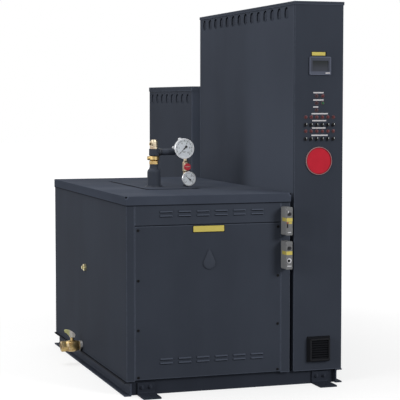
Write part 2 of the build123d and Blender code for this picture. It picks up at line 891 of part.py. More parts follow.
# Fan filter: tapered hood, open pocket and slats turned down
slat_pitch = (grille_height - 2 * grille_taper - 2 * grille_frame) / slat_count
with BuildPart() as fan_grille:
    with BuildSketch(facing(panel_mid, front, grille_level, (0, -1, 0))):
        RectangleRounded(grille_width, grille_height, grille_frame / 2)
    with BuildSketch(facing(panel_mid, front - grille_rise, grille_level, (0, -1, 0))):
        RectangleRounded(
            grille_width - 2 * grille_taper,
            grille_height - 2 * grille_taper,
            grille_frame / 2,
        )
    loft()
    with BuildSketch(facing(panel_mid, front - grille_rise, grille_level, (0, -1, 0))):
        Rectangle(
            grille_width - 2 * grille_taper - 2 * grille_frame,
            grille_height - 2 * grille_taper - 2 * grille_frame,
        )
    extrude(amount=-grille_pocket, mode=Mode.SUBTRACT)
    slat_start = panel_mid - grille_width / 2 + grille_taper + grille_frame
    slat_origin = (slat_start, front - grille_rise, grille_level)
    with BuildSketch(Plane(origin=slat_origin, x_dir=(0, 1, 0), z_dir=(1, 0, 0))):
        with Locations((grille_pocket / 2, 0)):
            with GridLocations(slat_pitch, slat_pitch, 1, slat_count):
                Rectangle(grille_pocket, slat_thick, rotation=slat_angle)
    extrude(amount=grille_width - 2 * grille_taper - 2 * grille_frame)
fan_grille.part.label = "fan_grille"
export_step(fan_grille.part, "parts/fan_grille.step")

# Limit controls: two upright boxes on the right front return
limit_x = right - limit_from_edge
limit_levels = [lid_top - limit_drop, lid_top - limit_drop - limit_pitch]


def limit_box(level):
    """One limit control, the seam of its cover running round near the front."""
    with BuildPart() as box:
        with BuildSketch(facing(limit_x, front, level, (0, -1, 0))):
            RectangleRounded(limit_width, limit_height, limit_radius)
        extrude(amount=limit_depth)
        fillet(box.faces().sort_by(Axis.Y)[0].edges(), radius=limit_radius * 0.5)
        with BuildSketch(facing(limit_x, front - limit_depth + limit_seam, level, (0, -1, 0))):
            RectangleRounded(limit_width, limit_height, limit_radius)
            RectangleRounded(
                limit_width - 2 * limit_groove,
                limit_height - 2 * limit_groove,
                limit_radius - limit_groove,
                mode=Mode.SUBTRACT,
            )
        extrude(amount=limit_groove, mode=Mode.SUBTRACT)
    return box.part


with BuildPart() as limit_control_upper:
    add(limit_box(limit_levels[0]))
limit_control_upper.part.label = "limit_control_upper"
export_step(limit_control_upper.part, "parts/limit_control_upper.step")

with BuildPart() as limit_control_lower:
    add(limit_box(limit_levels[1]))
limit_control_lower.part.label = "limit_control_lower"
export_step(limit_control_lower.part, "parts/limit_control_lower.step")

with BuildPart() as limit_knobs:
    for level in limit_levels:
        knob_level = level + limit_height / 2 - knob_drop
        with BuildSketch(facing(limit_x, front - limit_depth, knob_level, (0, -1, 0))):
            Circle(knob_radius)
        extrude(amount=knob_rise, taper=6)
limit_knobs.part.label = "limit_knobs"
export_step(limit_knobs.part, "parts/limit_knobs.step")

# Painted vessel nozzle reduced to the relief valve's size
with BuildPart() as vessel_nozzle:
    with BuildSketch(Plane(origin=(nozzle_x, trim_y, service_top), x_dir=(1, 0, 0), z_dir=(0, -1, 0))):
        with BuildLine():
            Polyline(
                (0, neck_height),
                (0, 0),
                (nozzle_collar, 0),
                (nozzle_collar, nozzle_collar_height),
                (nozzle_radius, nozzle_collar_height),
                (nozzle_radius, nozzle_straight),
            )
            shoulder = Spline(
                (nozzle_radius, nozzle_straight),
                (neck_radius, nozzle_straight + (neck_height - nozzle_straight) * 0.7),
                tangents=((0, 1), (0, 1)),
            )
            Polyline(shoulder @ 1, (neck_radius, neck_height), (0, neck_height))
        make_face()
    revolve(axis=Axis((nozzle_x, trim_y, 0), (0, 0, 1)))
vessel_nozzle.part.label = "vessel_nozzle"
export_step(vessel_nozzle.part, "parts/vessel_nozzle.step")

# Brass union with a side port, between the nozzle and the tee
union_base = service_top + neck_height
tee_base = union_base + union_hex_height + union_body_height
with BuildPart() as brass_union:
    with Locations((nozzle_x, trim_y, union_base)):
        add(hexagon(union_hex, union_hex_height))
    union_seat = union_base + union_hex_height
    with BuildSketch(Plane(origin=(nozzle_x, trim_y, union_seat), x_dir=(1, 0, 0), z_dir=(0, -1, 0))):
        with BuildLine():
            Polyline(
                (0, 0),
                (union_hex * 0.46, 0),
                (union_body, union_body_height * 0.25),
                (union_body, union_body_height * 0.75),
                (union_hex * 0.46, union_body_height),
                (0, union_body_height),
                close=True,
            )
        make_face()
    revolve(axis=Axis((nozzle_x, trim_y, 0), (0, 0, 1)))
    with BuildSketch(facing(nozzle_x, trim_y, union_seat + union_body_height / 2, (-1, 0, 0))):
        Circle(union_port_radius)
    extrude(amount=union_port_reach)
brass_union.part.label = "brass_union"
export_step(brass_union.part, "parts/brass_union.step")

# Manifold: tee on the nozzle, pipe along X and the end tee that carries the gauges
with BuildPart() as manifold_pipe:
    with BuildSketch(Plane(origin=(nozzle_x, trim_y, tee_base))):
        Circle(tee_radius)
    extrude(amount=tee_height)
    with BuildSketch(Plane(origin=(nozzle_x, trim_y, pipe_level), x_dir=(0, 1, 0), z_dir=(1, 0, 0))):
        Circle(pipe_radius)
    extrude(amount=riser_from_nozzle)
    with BuildSketch(Plane(origin=(riser_x, trim_y, pipe_level - end_tee_height / 2))):
        Circle(end_tee_radius)
    extrude(amount=end_tee_height)
    with BuildSketch(facing(gauge_x, trim_y, pipe_level, (0, -1, 0))):
        Circle(branch_radius)
    extrude(amount=end_tee_radius + gauge_gap)
manifold_pipe.part.label = "manifold_pipe"
export_step(manifold_pipe.part, "parts/manifold_pipe.step")

# Safety relief valve with its side outlet
relief_base = tee_base + tee_height
outlet_level = relief_base + relief_hex_height + relief_height / 2
outlet_dir = (-sin(radians(relief_outlet_turn)), -cos(radians(relief_outlet_turn)), 0)
with BuildPart() as relief_valve:
    with Locations((nozzle_x, trim_y, relief_base)):
        add(hexagon(relief_hex, relief_hex_height))
    relief_seat = relief_base + relief_hex_height
    with BuildSketch(Plane(origin=(nozzle_x, trim_y, relief_seat), x_dir=(1, 0, 0), z_dir=(0, -1, 0))):
        with BuildLine():
            Polyline(
                (0, 0),
                (relief_radius, 0),
                (relief_radius, relief_height),
                (relief_radius * 0.8, relief_height),
                (relief_radius * 0.7, relief_height + relief_dome),
                (0, relief_height + relief_dome),
                close=True,
            )
        make_face()
    revolve(axis=Axis((nozzle_x, trim_y, 0), (0, 0, 1)))
    with BuildSketch(facing(nozzle_x, trim_y, outlet_level, outlet_dir)):
        Circle(relief_outlet_radius * 1.5)
    extrude(amount=relief_radius + relief_outlet_radius / 2)
    mouth = relief_radius + relief_outlet_radius / 2
    mouth_x = nozzle_x + outlet_dir[0] * mouth
    mouth_y = trim_y + outlet_dir[1] * mouth
    with BuildSketch(facing(mouth_x, mouth_y, outlet_level, outlet_dir)):
        Circle(relief_outlet_radius)
    extrude(amount=-relief_outlet_depth, mode=Mode.SUBTRACT)
relief_valve.part.label = "relief_valve"
export_step(relief_valve.part, "parts/relief_valve.step")

# Gauge cock under the end tee, its stem boss to the front
cock_top = pipe_level - end_tee_height / 2
cock_body_top = cock_top - cock_drop
cock_axis = cock_body_top - cock_height / 2
cock_bottom = cock_body_top - cock_height - bushing_height
boss_face = trim_y - cock_boss_reach
with BuildPart() as gauge_cock:
    with BuildSketch(Plane(origin=(riser_x, trim_y, cock_bottom), x_dir=(1, 0, 0), z_dir=(0, -1, 0))):
        with BuildLine():
            Polyline(
                (0, 0),
                (cock_radius * 0.85, 0),
                (cock_radius * 0.85, bushing_height),
                (cock_nipple_radius, bushing_height),
                (cock_radius, bushing_height + 8),
                (cock_radius, bushing_height + cock_height - 8),
                (cock_nipple_radius, bushing_height + cock_height),
                (cock_nipple_radius, cock_top - cock_bottom),
                (0, cock_top - cock_bottom),
                close=True,
            )
        make_face()
    revolve(axis=Axis((riser_x, trim_y, 0), (0, 0, 1)))
    with BuildSketch(facing(riser_x, trim_y, cock_axis, (0, -1, 0))):
        Circle(cock_boss_radius)
    extrude(amount=cock_boss_reach)
    with BuildSketch(facing(riser_x, boss_face, cock_axis, (0, -1, 0))):
        Circle(cock_stem_radius + stem_clearance)
    extrude(amount=-cock_boss_reach * 0.6, mode=Mode.SUBTRACT)
gauge_cock.part.label = "gauge_cock"
export_step(gauge_cock.part, "parts/gauge_cock.step")

# Fluted red knob of the cock, on its own stem
knob_back = trim_y - cock_knob_from_axis
with BuildPart() as cock_knob:
    with BuildSketch(facing(riser_x, knob_back, cock_axis, (0, -1, 0))):
        Circle(cock_knob_radius)
        with PolarLocations(cock_knob_radius + cock_flute_radius * 0.4, cock_knob_flutes):
            Circle(cock_flute_radius, mode=Mode.SUBTRACT)
    extrude(amount=cock_knob_thick)
    chamfer(cock_knob.faces().sort_by(Axis.Y)[0].edges(), length=1.5)
    with BuildSketch(facing(riser_x, knob_back, cock_axis, (0, -1, 0))):
        Circle(cock_stem_radius)
    extrude(amount=-(boss_face - knob_back + cock_boss_reach * 0.5))
cock_knob.part.label = "cock_knob"
export_step(cock_knob.part, "parts/cock_knob.step")

# Riser from the lid to the cock, with the branch of the small gauge
small_z = service_top + small_level
with BuildPart() as gauge_riser:
    with BuildSketch(Plane(origin=(riser_x, trim_y, service_top))):
        Circle(riser_radius)
    extrude(amount=cock_bottom - service_top)
    with BuildSketch(Plane(origin=(riser_x, trim_y, service_top))):
        Circle(riser_radius * 1.7)
    extrude(amount=nozzle_collar_height)
    with BuildSketch(facing(riser_x, trim_y, small_z, (0, -1, 0))):
        Circle(riser_radius * 0.9)
    extrude(amount=small_reach)
gauge_riser.part.label = "gauge_riser"
export_step(gauge_riser.part, "parts/gauge_riser.step")

# Large pressure gauge, connected low at its back, and the small gauge
gauge_back = trim_y - end_tee_radius - gauge_gap
with BuildPart() as pressure_gauge:
    with Locations(facing(gauge_x, gauge_back, pipe_level + gauge_rise, (0, -1, 0))):
        add(gauge_case(gauge_radius, gauge_depth))
    with BuildSketch(facing(gauge_x, gauge_back, pipe_level + gauge_rise, (0, -1, 0))):
        with PolarLocations(gauge_radius - 1, 2, start_angle=112, angular_range=124):
            Circle(8)
    extrude(amount=gauge_depth * 0.5)
pressure_gauge.part.label = "pressure_gauge"
export_step(pressure_gauge.part, "parts/pressure_gauge.step")

with BuildPart() as small_gauge:
    with Locations(facing(riser_x, trim_y - small_reach, small_z, (0, -1, 0))):
        add(gauge_case(small_radius, small_depth))
small_gauge.part.label = "small_gauge"
export_step(small_gauge.part, "parts/small_gauge.step")

# Brass drain ball valve: nipple, collar, ball body and open hexagon end, all along X
with BuildPart() as drain_valve:
    with BuildSketch(Plane(origin=(left, drain_y, drain_level), x_dir=(-1, 0, 0), z_dir=(0, 1, 0))):
        with BuildLine():
            Polyline(
                (0, 0),
                (0, drain_nipple_radius),
                (drain_nipple, drain_nipple_radius),
                (drain_nipple, drain_collar_radius),
                (drain_nipple + drain_collar, drain_collar_radius),
                (drain_nipple + drain_collar, drain_end_radius),
                (drain_nipple + drain_collar + 6, drain_end_radius),
            )
            ThreePointArc(
                (drain_nipple + drain_collar + 6, drain_end_radius),
                (drain_stem_from_panel, drain_ball_radius),
                (drain_reach - drain_hex_length, drain_end_radius),
            )
            Polyline(
                (drain_reach - drain_hex_length, drain_end_radius),
                (drain_reach, drain_end_radius),
                (drain_reach, 0),
                (0, 0),
            )
        make_face()
    revolve(axis=Axis((left, drain_y, drain_level), (-1, 0, 0)))
    with Locations(facing(left - drain_reach + drain_hex_length, drain_y, drain_level, (-1, 0, 0))):
        add(hexagon(drain_hex, drain_hex_length))
    with BuildSketch(facing(left - drain_reach, drain_y, drain_level, (-1, 0, 0))):
        Circle(drain_bore_radius)
    extrude(amount=-drain_bore_depth, mode=Mode.SUBTRACT)
    with BuildSketch(Plane(origin=(drain_stem_x, drain_y, drain_level))):
        Circle(drain_gland_radius)
    extrude(amount=drain_gland_height)
    with BuildSketch(Plane(origin=(drain_stem_x, drain_y, drain_level + drain_gland_height))):
        Circle(drain_stem_radius)
    extrude(amount=running_gap + lever_thick + 4)
drain_valve.part.label = "drain_valve"
export_step(drain_valve.part, "parts/drain_valve.step")

# Pressed lever of the drain valve: an arched channel, open below, with a hub plate on the stem
lever_z = drain_level + drain_gland_height + running_gap


def lever_side():
    """Side outline of the lever: X away from the panel, Y up, the stem at the origin."""
    with BuildSketch() as side:
        with BuildLine():
            ThreePointArc(
                (-lever_heel, lever_heel_rise),
                (lever_reach * 0.12, lever_rise * 0.86),
                (lever_reach, lever_rise),
            )
            Line((lever_reach, lever_rise), (lever_reach, lever_rise - lever_tip_depth))
            ThreePointArc(
                (lever_reach, lever_rise - lever_tip_depth),
                ((lever_reach + lever_foot) * 0.42, lever_rise * 0.36),
                (lever_foot, 0),
            )
            Polyline((lever_foot, 0), (-lever_heel * 0.8, 0), (-lever_heel, lever_heel_rise))
        make_face()
    return side.sketch


def lever_plan(root, tip):
    """Outline of the lever from above, from the heel to past the tip."""
    with BuildSketch() as plan:
        with BuildLine():
            Polyline(
                (-2 * lever_heel, -root / 2),
                (0, -root / 2),
                (lever_reach * 1.2, -tip / 2),
                (lever_reach * 1.2, tip / 2),
                (0, root / 2),
                (-2 * lever_heel, root / 2),
                close=True,
            )
        make_face()
    return plan.sketch


with BuildPart() as lever_hollow:
    inner_origin = (drain_stem_x - lever_wall * 0.8, drain_y, lever_z - lever_wall * 1.2)
    with BuildSketch(Plane(origin=inner_origin, x_dir=(-1, 0, 0), z_dir=(0, 1, 0))):
        add(lever_side())
    extrude(amount=lever_width, both=True)
    with BuildSketch(Plane(origin=(drain_stem_x, drain_y, lever_z - lever_rise), x_dir=(-1, 0, 0))):
        add(lever_plan(lever_width - 2 * lever_wall, lever_tip_width - 2 * lever_wall))
    extrude(amount=3 * lever_rise, mode=Mode.INTERSECT)

with BuildPart() as drain_lever:
    with BuildSketch(Plane(origin=(drain_stem_x, drain_y, lever_z), x_dir=(-1, 0, 0), z_dir=(0, 1, 0))):
        add(lever_side())
    extrude(amount=lever_width, both=True)
    with BuildSketch(Plane(origin=(drain_stem_x, drain_y, lever_z), x_dir=(-1, 0, 0))):
        add(lever_plan(lever_width, lever_tip_width))
    extrude(amount=2 * lever_rise, mode=Mode.INTERSECT)
    add(lever_hollow.part, mode=Mode.SUBTRACT)
    with BuildSketch(Plane(origin=(drain_stem_x, drain_y, lever_z))):
        Rectangle(2 * lever_foot, lever_width)
    extrude(amount=lever_thick)
    with BuildSketch(Plane(origin=(drain_stem_x, drain_y, lever_z))):
        Circle(drain_stem_radius + stem_clearance)
    extrude(amount=lever_thick, mode=Mode.SUBTRACT)
drain_lever.part.label = "drain_lever"
export_step(drain_lever.part, "parts/drain_lever.step")

# Brass plug on the left side panel
with BuildPart() as side_plug:
    with Locations(facing(left, front + plug_from_front, plug_level, (-1, 0, 0))):
        add(hexagon(plug_hex, plug_rise))
    with BuildSketch(facing(left - plug_rise, front + plug_from_front, plug_level, (-1, 0, 0))):
        Rectangle(plug_head_square, plug_head_square)
    extrude(amount=plug_head)
side_plug.part.label = "side_plug"
export_step(side_plug.part, "parts/side_plug.step")
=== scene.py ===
from math import asin, cos, pi, radians, sin

import bmesh
import bpy
from bpy.props import FloatProperty, FloatVectorProperty, IntProperty, PointerProperty
from mathutils import Matrix, Vector


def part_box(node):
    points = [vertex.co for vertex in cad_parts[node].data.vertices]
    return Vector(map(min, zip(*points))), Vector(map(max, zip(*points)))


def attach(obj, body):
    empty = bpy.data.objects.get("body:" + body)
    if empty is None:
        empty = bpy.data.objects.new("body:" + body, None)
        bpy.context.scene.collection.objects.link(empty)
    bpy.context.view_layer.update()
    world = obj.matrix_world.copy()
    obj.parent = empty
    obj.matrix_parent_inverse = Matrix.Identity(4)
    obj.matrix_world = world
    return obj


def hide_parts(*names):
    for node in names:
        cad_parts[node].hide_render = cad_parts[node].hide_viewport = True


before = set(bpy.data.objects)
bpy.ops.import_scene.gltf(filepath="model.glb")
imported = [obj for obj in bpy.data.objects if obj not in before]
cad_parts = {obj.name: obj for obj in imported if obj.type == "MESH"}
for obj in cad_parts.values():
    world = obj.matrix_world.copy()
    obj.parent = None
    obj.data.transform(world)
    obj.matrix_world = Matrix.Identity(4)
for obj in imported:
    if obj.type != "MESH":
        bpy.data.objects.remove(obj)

bl_info = {
    "name": "Skid boiler dresser",
    "version": (1, 0, 0),
    "blender": (4, 5, 0),
    "location": "View3D > Sidebar > Boiler",
    "description": "Paints a packed skid boiler and adds its fasteners, plates, dials and stage",
    "category": "Add Mesh",
}

MM = 0.001
X, Y, Z = 0, 1, 2
LEFTWARD = Vector((-1, 0, 0))
RIGHTWARD = Vector((1, 0, 0))
FORWARD = Vector((0, -1, 0))
BACKWARD = Vector((0, 1, 0))
UPWARD = Vector((0, 0, 1))


def low(node):
    """Lowest corner of a CAD node, in metres."""
    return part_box(node)[0]


def high(node):
    """Highest corner of a CAD node, in metres."""
    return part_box(node)[1]


def middle(node):
    """Centre of a CAD node's box, in metres."""
    return (low(node) + high(node)) / 2


def at(x, y, height):
    """A point from two lines of the CAD, in metres, and a height in millimetres."""
    return Vector((x, y, height * MM))


# Places of the CAD that the small pieces sit on, in metres
JACKET_FACE = low("side_panel_left").y
PANEL_FACE = JACKET_FACE - 1.5 * MM
CABINET_FACE = low("cabinet_front").y
PANEL_MID = middle("display_bezel").x
LIMIT_FACE = low("limit_control_upper").y
NOZZLE = middle("vessel_nozzle")
RISER = middle("gauge_riser")
MEDALLION = middle("medallion")

# Radius of the large gauge's case and of both dials, in millimetres
GAUGE_RADIUS = 56.5
LARGE_DIAL = GAUGE_RADIUS - 6.3
SMALL_DIAL = 33.7

# Heights of the rows of screws, lamps and switches, in millimetres
ACCESS_ROWS = (838, 584, 332, 92)
SIDE_PANEL_ROWS = (120, 390, 660, 930)
REAR_PANEL_ROWS = (100, 320, 540, 760, 935)
REAR_CABINET_ROWS = (130, 470, 810, 1150, 1490)
TALL_CABINET_ROWS = (130, 520, 910, 1300, 1690)
STATUS_ROWS = (1512, 1475, 1438)
LAMP_ROWS = (1402, 1329)
SWITCH_ROWS = (1363, 1290)
LIMIT_ROWS = (927, 807, 751, 631)
DISPLAY_PLATE = 1730

# Heights of what the two limit controls carry, in millimetres
LIMIT_BANDS = (877.5, 705.5)
UPPER_SLASH, UPPER_LAMP, UPPER_TAG, UPPER_BUTTON, UPPER_STRIP = 914, 862, 861, 846, 812
LOWER_BUTTON, LOWER_DIAL, LOWER_STRIP = 727, 666, 638

# Places of the screws along the tall cabinet's covers, in millimetres from the front to the back
TALL_CABINET_COLUMNS = (-739, -401, -63, 9, 347, 685)

# Columns of lamps and switches across the panel, and their distance in millimetres
COLUMN_COUNT, COLUMN_PITCH = 6, 31

# Distance of the status lamps from the panel's middle line, in millimetres
STATUS_OFFSET = 17

# Label strips on the panel: height, distance from its middle line and width, in millimetres
LABEL_STRIPS = (
    (1529, -7, 58), (1491, -7, 58), (1455, -22, 28),
    (1420, 1, 92), (1384, -2, 78), (1346, -4, 76), (1308, 1, 92),
)

# Right half of a gauge's pointer, from its tail to its tip, in shares of the dial's radius
HALF_POINTER = (
    (0.08, -0.43), (0.15, -0.33), (0.13, -0.19), (0.06, -0.12), (0.045, 0.0), (0.03, 0.25), (0.012, 0.84),
)

# Dome of the pull: share of its outline and rise in millimetres, from the panel outwards
PULL_DOME = (
    (1.0, 0.0), (0.985, 3.2), (0.95, 5.2), (0.88, 6.8), (0.76, 8.0), (0.58, 8.8), (0.34, 9.3), (0.12, 9.5),
)

# Painted shade inside louvres and vents: how deep it starts to darken and has turned black, in metres
HOLLOW_SHADE = {
    "upper_front_panel": (0.0005, 0.002),
    "access_panel": (0.0005, 0.002),
    "cabinet_body": (0.002, 0.0075),
}

# Panels painted a little lighter or darker than the rest: painted light and shade
PAINTED_TONES = {"cabinet_body": 1.1, "cabinet_front": 0.96, "upper_front_panel": 1.1}

# Near black of painted shade in hollows, gaps and under edges
PAINTED_SHADE = (0.002, 0.002, 0.003)
DUST = (0.16, 0.165, 0.17)
LID_DUST = (0.16, 0.175, 0.20)
WHITE = (1.0, 1.0, 1.0, 1.0)

# Lamps of the stage: place, target and size in metres
LAMPS = {
    "key": ((5.2, -8.0, 4.6), (0.0, 0.0, 0.9), (3.2, 3.2)),
    "fill": ((-9.6, -4.0, 3.6), (-0.2, 0.2, 1.1), (4.4, 3.6)),
    "top": ((-1.3, 1.0, 4.6), (-0.2, 0.0, 0.9), (3.0, 3.0)),
}

# Camera that was fitted to the photograph: place in metres, turn in degrees, shift in sensor widths
CAMERA_PLACE = (-2.43393, -7.60005, 1.49555)
CAMERA_TURN = (86.0, 0.0, -18.26)
CAMERA_SHIFT = -0.0053

# Settings that the properties share
COLOUR = {"subtype": "COLOR", "size": 3, "min": 0, "max": 1}
SHARE = {"subtype": "FACTOR", "min": 0, "max": 1}
POWER = {"unit": "POWER", "min": 0, "max": 5000}


# Sizes and colours that a user would change


class BoilerPaint(bpy.types.PropertyGroup):
    """Colours and surface of the painted sheet and skid."""

    slate: FloatVectorProperty(
        name="Housing colour", description="Satin paint of the jacket and cabinets",
        default=(0.0365, 0.0425, 0.0565), **COLOUR,
    )
    lid: FloatVectorProperty(
        name="Lid colour", description="Paint of the lid and the plate on it",
        default=(0.0455, 0.0535, 0.073), **COLOUR,
    )
    skid: FloatVectorProperty(
        name="Skid colour", description="Paint of the channels and floor clips",
        default=(0.0235, 0.0275, 0.038), **COLOUR,
    )
    satin: FloatProperty(
        name="Roughness", description="Roughness of the housing paint", default=0.62, **SHARE,
    )
    sheen_level: FloatProperty(
        name="Reflectivity", description="Specular level of the housing paint", default=0.012, **SHARE,
    )
    # The rubbed line along sheet edges is partly wear and partly a painted highlight
    edge_width: FloatProperty(
        name="Edge wear", description="Width of the rubbed line along sheet edges",
        unit="LENGTH", min=0, max=0.02, default=0.005,
    )


class BoilerMetals(bpy.types.PropertyGroup):
    """Colours of the fittings."""

    brass: FloatVectorProperty(
        name="Brass", description="Cast and turned brass", default=(0.47, 0.345, 0.15), **COLOUR,
    )
    pale_brass: FloatVectorProperty(
        name="Pale brass", description="Nickelled brass of the relief valve and the cock",
        default=(0.60, 0.52, 0.38), **COLOUR,
    )
    steel: FloatVectorProperty(
        name="Steel", description="Plated steel of the nuts and gauge cases",
        default=(0.55, 0.56, 0.58), **COLOUR,
    )
    lever: FloatVectorProperty(
        name="Lever coat", description="Pale coat of the drain lever", default=(0.74, 0.73, 0.34), **COLOUR,
    )
    screw_radius: FloatProperty(
        name="Screw head", description="Radius of the panel screws' heads",
        unit="LENGTH", min=0.002, max=0.02, default=0.007,
    )


class BoilerPanel(bpy.types.PropertyGroup):
    """Colours of the control panel and the plates."""

    plate: FloatVectorProperty(
        name="Plate", description="Yellow of the bare plates", default=(0.52, 0.43, 0.10), **COLOUR,
    )
    red: FloatVectorProperty(
        name="Red", description="Red of the medallion and the cock's knob",
        default=(0.43, 0.013, 0.028), **COLOUR,
    )
    grey: FloatVectorProperty(
        name="Light grey", description="Paint of the limit controls", default=(0.15, 0.152, 0.155), **COLOUR,
    )
    dial: FloatVectorProperty(
        name="Dial", description="Face of the gauges", default=(0.86, 0.90, 1.0), **COLOUR,
    )
    tick_count: IntProperty(
        name="Ticks", description="Number of ticks round the large dial", min=11, max=101, default=51,
    )


class BoilerStage(bpy.types.PropertyGroup):
    """Light, floor and camera."""

    ambient: FloatProperty(
        name="Ambient", description="Level of the light from all round", min=0, max=2, default=0.44,
    )
    key: FloatProperty(
        name="Key", description="Power of the large lamp at the front right", default=560, **POWER,
    )
    fill: FloatProperty(name="Fill", description="Power of the lamp at the left", default=330, **POWER)
    top: FloatProperty(
        name="Top", description="Power of the lamp above the back left", default=100, **POWER,
    )
    lens: FloatProperty(
        name="Lens", description="Focal length on a 36 mm sensor", unit="CAMERA", min=10, max=300,
        default=127.07,
    )


# Shader trees


class Term:
    """A socket that takes arithmetic: each operation adds its Math node."""

    def __init__(self, shop, socket):
        self.shop = shop
        self.socket = socket

    def __add__(self, other):
        return self.shop.maths("ADD", self, other)

    def __radd__(self, other):
        return self.shop.maths("ADD", other, self)

    def __sub__(self, other):
        return self.shop.maths("SUBTRACT", self, other)

    def __rsub__(self, other):
        return self.shop.maths("SUBTRACT", other, self)

    def __mul__(self, other):
        return self.shop.maths("MULTIPLY", self, other)

    def __rmul__(self, other):
        return self.shop.maths("MULTIPLY", other, self)

    def __truediv__(self, other):
        return self.shop.maths("DIVIDE", self, other)


class Shop:
    """Makes the nodes of one tree."""

    def __init__(self, tree):
        self.tree = tree

    def feed(self, socket, value):
        """Links a term to a socket, or sets its constant."""
        if isinstance(value, Term):
            self.tree.links.new(value.socket, socket)
        else:
            socket.default_value = value

    def node(self, kind, settings=None, sockets=None, output=0):
        """A node of any type: its settings first, then the values or links of its sockets."""
        made = self.tree.nodes.new(kind)
        for key, value in (settings or {}).items():
            setattr(made, key, value)
        for key, value in (sockets or {}).items():
            self.feed(made.inputs[key], value)
        return Term(self, made.outputs[output])

    def maths(self, operation, *values):
        """One Math node."""
        return self.node("ShaderNodeMath", {"operation": operation}, dict(enumerate(values)))

    def least(self, first, *others):
        """The smallest of some values."""
        for other in others:
            first = self.maths("MINIMUM", first, other)
        return first

    def most(self, first, *others):
        """The largest of some values."""
        for other in others:
            first = self.maths("MAXIMUM", first, other)
        return first

    def step(self, value, start, end, least=0.0):
        """The least share at start, 1 at end, smooth between them."""
        sockets = {"Value": value, "From Min": start, "From Max": end, "To Min": least, "To Max": 1.0}
        return self.node("ShaderNodeMapRange", {"interpolation_type": "SMOOTHSTEP"}, sockets)

    def seen(self):
        """1 for rays from the camera, a mirror or a glass, and 0 for those that carry light."""
        path = self.node("ShaderNodeLightPath").socket.node
        rays = ("Is Camera Ray", "Is Glossy Ray", "Is Transmission Ray")
        return self.most(*(Term(self, path.outputs[ray]) for ray in rays))

    def mixed(self, share, first, second):
        """One shader mixed with another."""
        return self.node("ShaderNodeMixShader", None, {0: share, 1: first, 2: second})


def rgba(colour):
    """A colour of three numbers with its alpha."""
    return (*tuple(colour)[:3], 1.0)


def tinted(colour, factor):
    """A colour made lighter or darker."""
    return tuple(min(1.0, c * factor) for c in tuple(colour)[:3])


class Finish(Shop):
    """A material on object coordinates."""

    def __init__(self, name, roughness=0.5, metallic=0.0, specular=0.5, coat=0.0):
        self.material = bpy.data.materials.new(name)
        self.material.use_nodes = True
        super().__init__(self.material.node_tree)
        self.shader = self.tree.nodes["Principled BSDF"]
        for socket, value in (
            ("Roughness", roughness), ("Metallic", metallic), ("Specular IOR Level", specular),
            ("Coat Weight", coat), ("Coat Roughness", 0.1),
        ):
            self.surface(socket, value)
        self.place = self.node("ShaderNodeTexCoord", output="Object")
        parts = self.node("ShaderNodeSeparateXYZ", None, {0: self.place}).socket.node
        self.axes = [Term(self, output) for output in parts.outputs]

    def surface(self, socket, value):
        """Sets or links one socket of the shader."""
        self.feed(self.shader.inputs[socket], value)

    def stretched(self, scale):
        """Coordinates scaled on each axis."""
        return self.node("ShaderNodeMapping", None, {"Vector": self.place, "Scale": scale})

    def noise(self, scale, detail=3.0, place=None):
        """Cloud noise between 0 and 1."""
        sockets = {"Vector": place or self.place, "Scale": scale, "Detail": detail, "Roughness": 0.55}
        return self.node("ShaderNodeTexNoise", None, sockets)

    def blend(self, share, first, second):
        """Colour mixed from two colours or terms."""
        pair = [c if isinstance(c, Term) else rgba(c) for c in (first, second)]
        return self.node(
            "ShaderNodeMix", {"data_type": "RGBA"}, {0: share, 6: pair[0], 7: pair[1]}, output=2
        )

    def shades(self, share, colour, darker, lighter):
        """A colour that drifts between a darker and a lighter tint of itself."""
        return self.blend(share, tinted(colour, darker), tinted(colour, lighter))

    def done(self, colour, roughness, height, depth=0.3, strength=0.2):
        """The material, with its colour, its roughness and a bump whose depth is in millimetres."""
        bump = {"Height": height, "Distance": depth * MM, "Strength": strength}
        self.surface("Base Color", colour)
        self.surface("Roughness", roughness)
        self.surface("Normal", self.node("ShaderNodeBump", None, bump))
        return self.material

    def side_gaps(self, box):
        """Distance to the nearer side of a box along each axis."""
        return [self.least(term - start, end - term) for term, start, end in zip(self.axes, *box)]

    def edge_distance(self, box):
        """Distance to the nearest edge of a box, for a point on the box."""
        across, along, up = self.side_gaps(box)
        return self.most(self.least(across, along), self.least(self.most(across, along), up))

    def clouding(self, cloud_scale, smear_scale, stretch, share):
        """Slow drift of a sprayed coat, of clouds and drawn-out smears."""
        smears = self.noise(smear_scale, 4.0, self.stretched(stretch))
        return self.noise(cloud_scale) * share + smears * (1.0 - share)

    def settled_dust(self, top):
        """Patches of dust on the face at a height."""
        spots = self.step(self.noise(3.2, 5.0), 0.35, 0.75)
        return self.step(self.axes[Z], top - 0.8 * MM, top - 0.2 * MM) * spots

    def sprayed(self, colour, roughness, grit):
        """The material with the orange peel of sprayed paint."""
        return self.done(colour, roughness, self.noise(420.0, 2.0) * 0.7 + grit * 0.3, 0.4, 0.22)


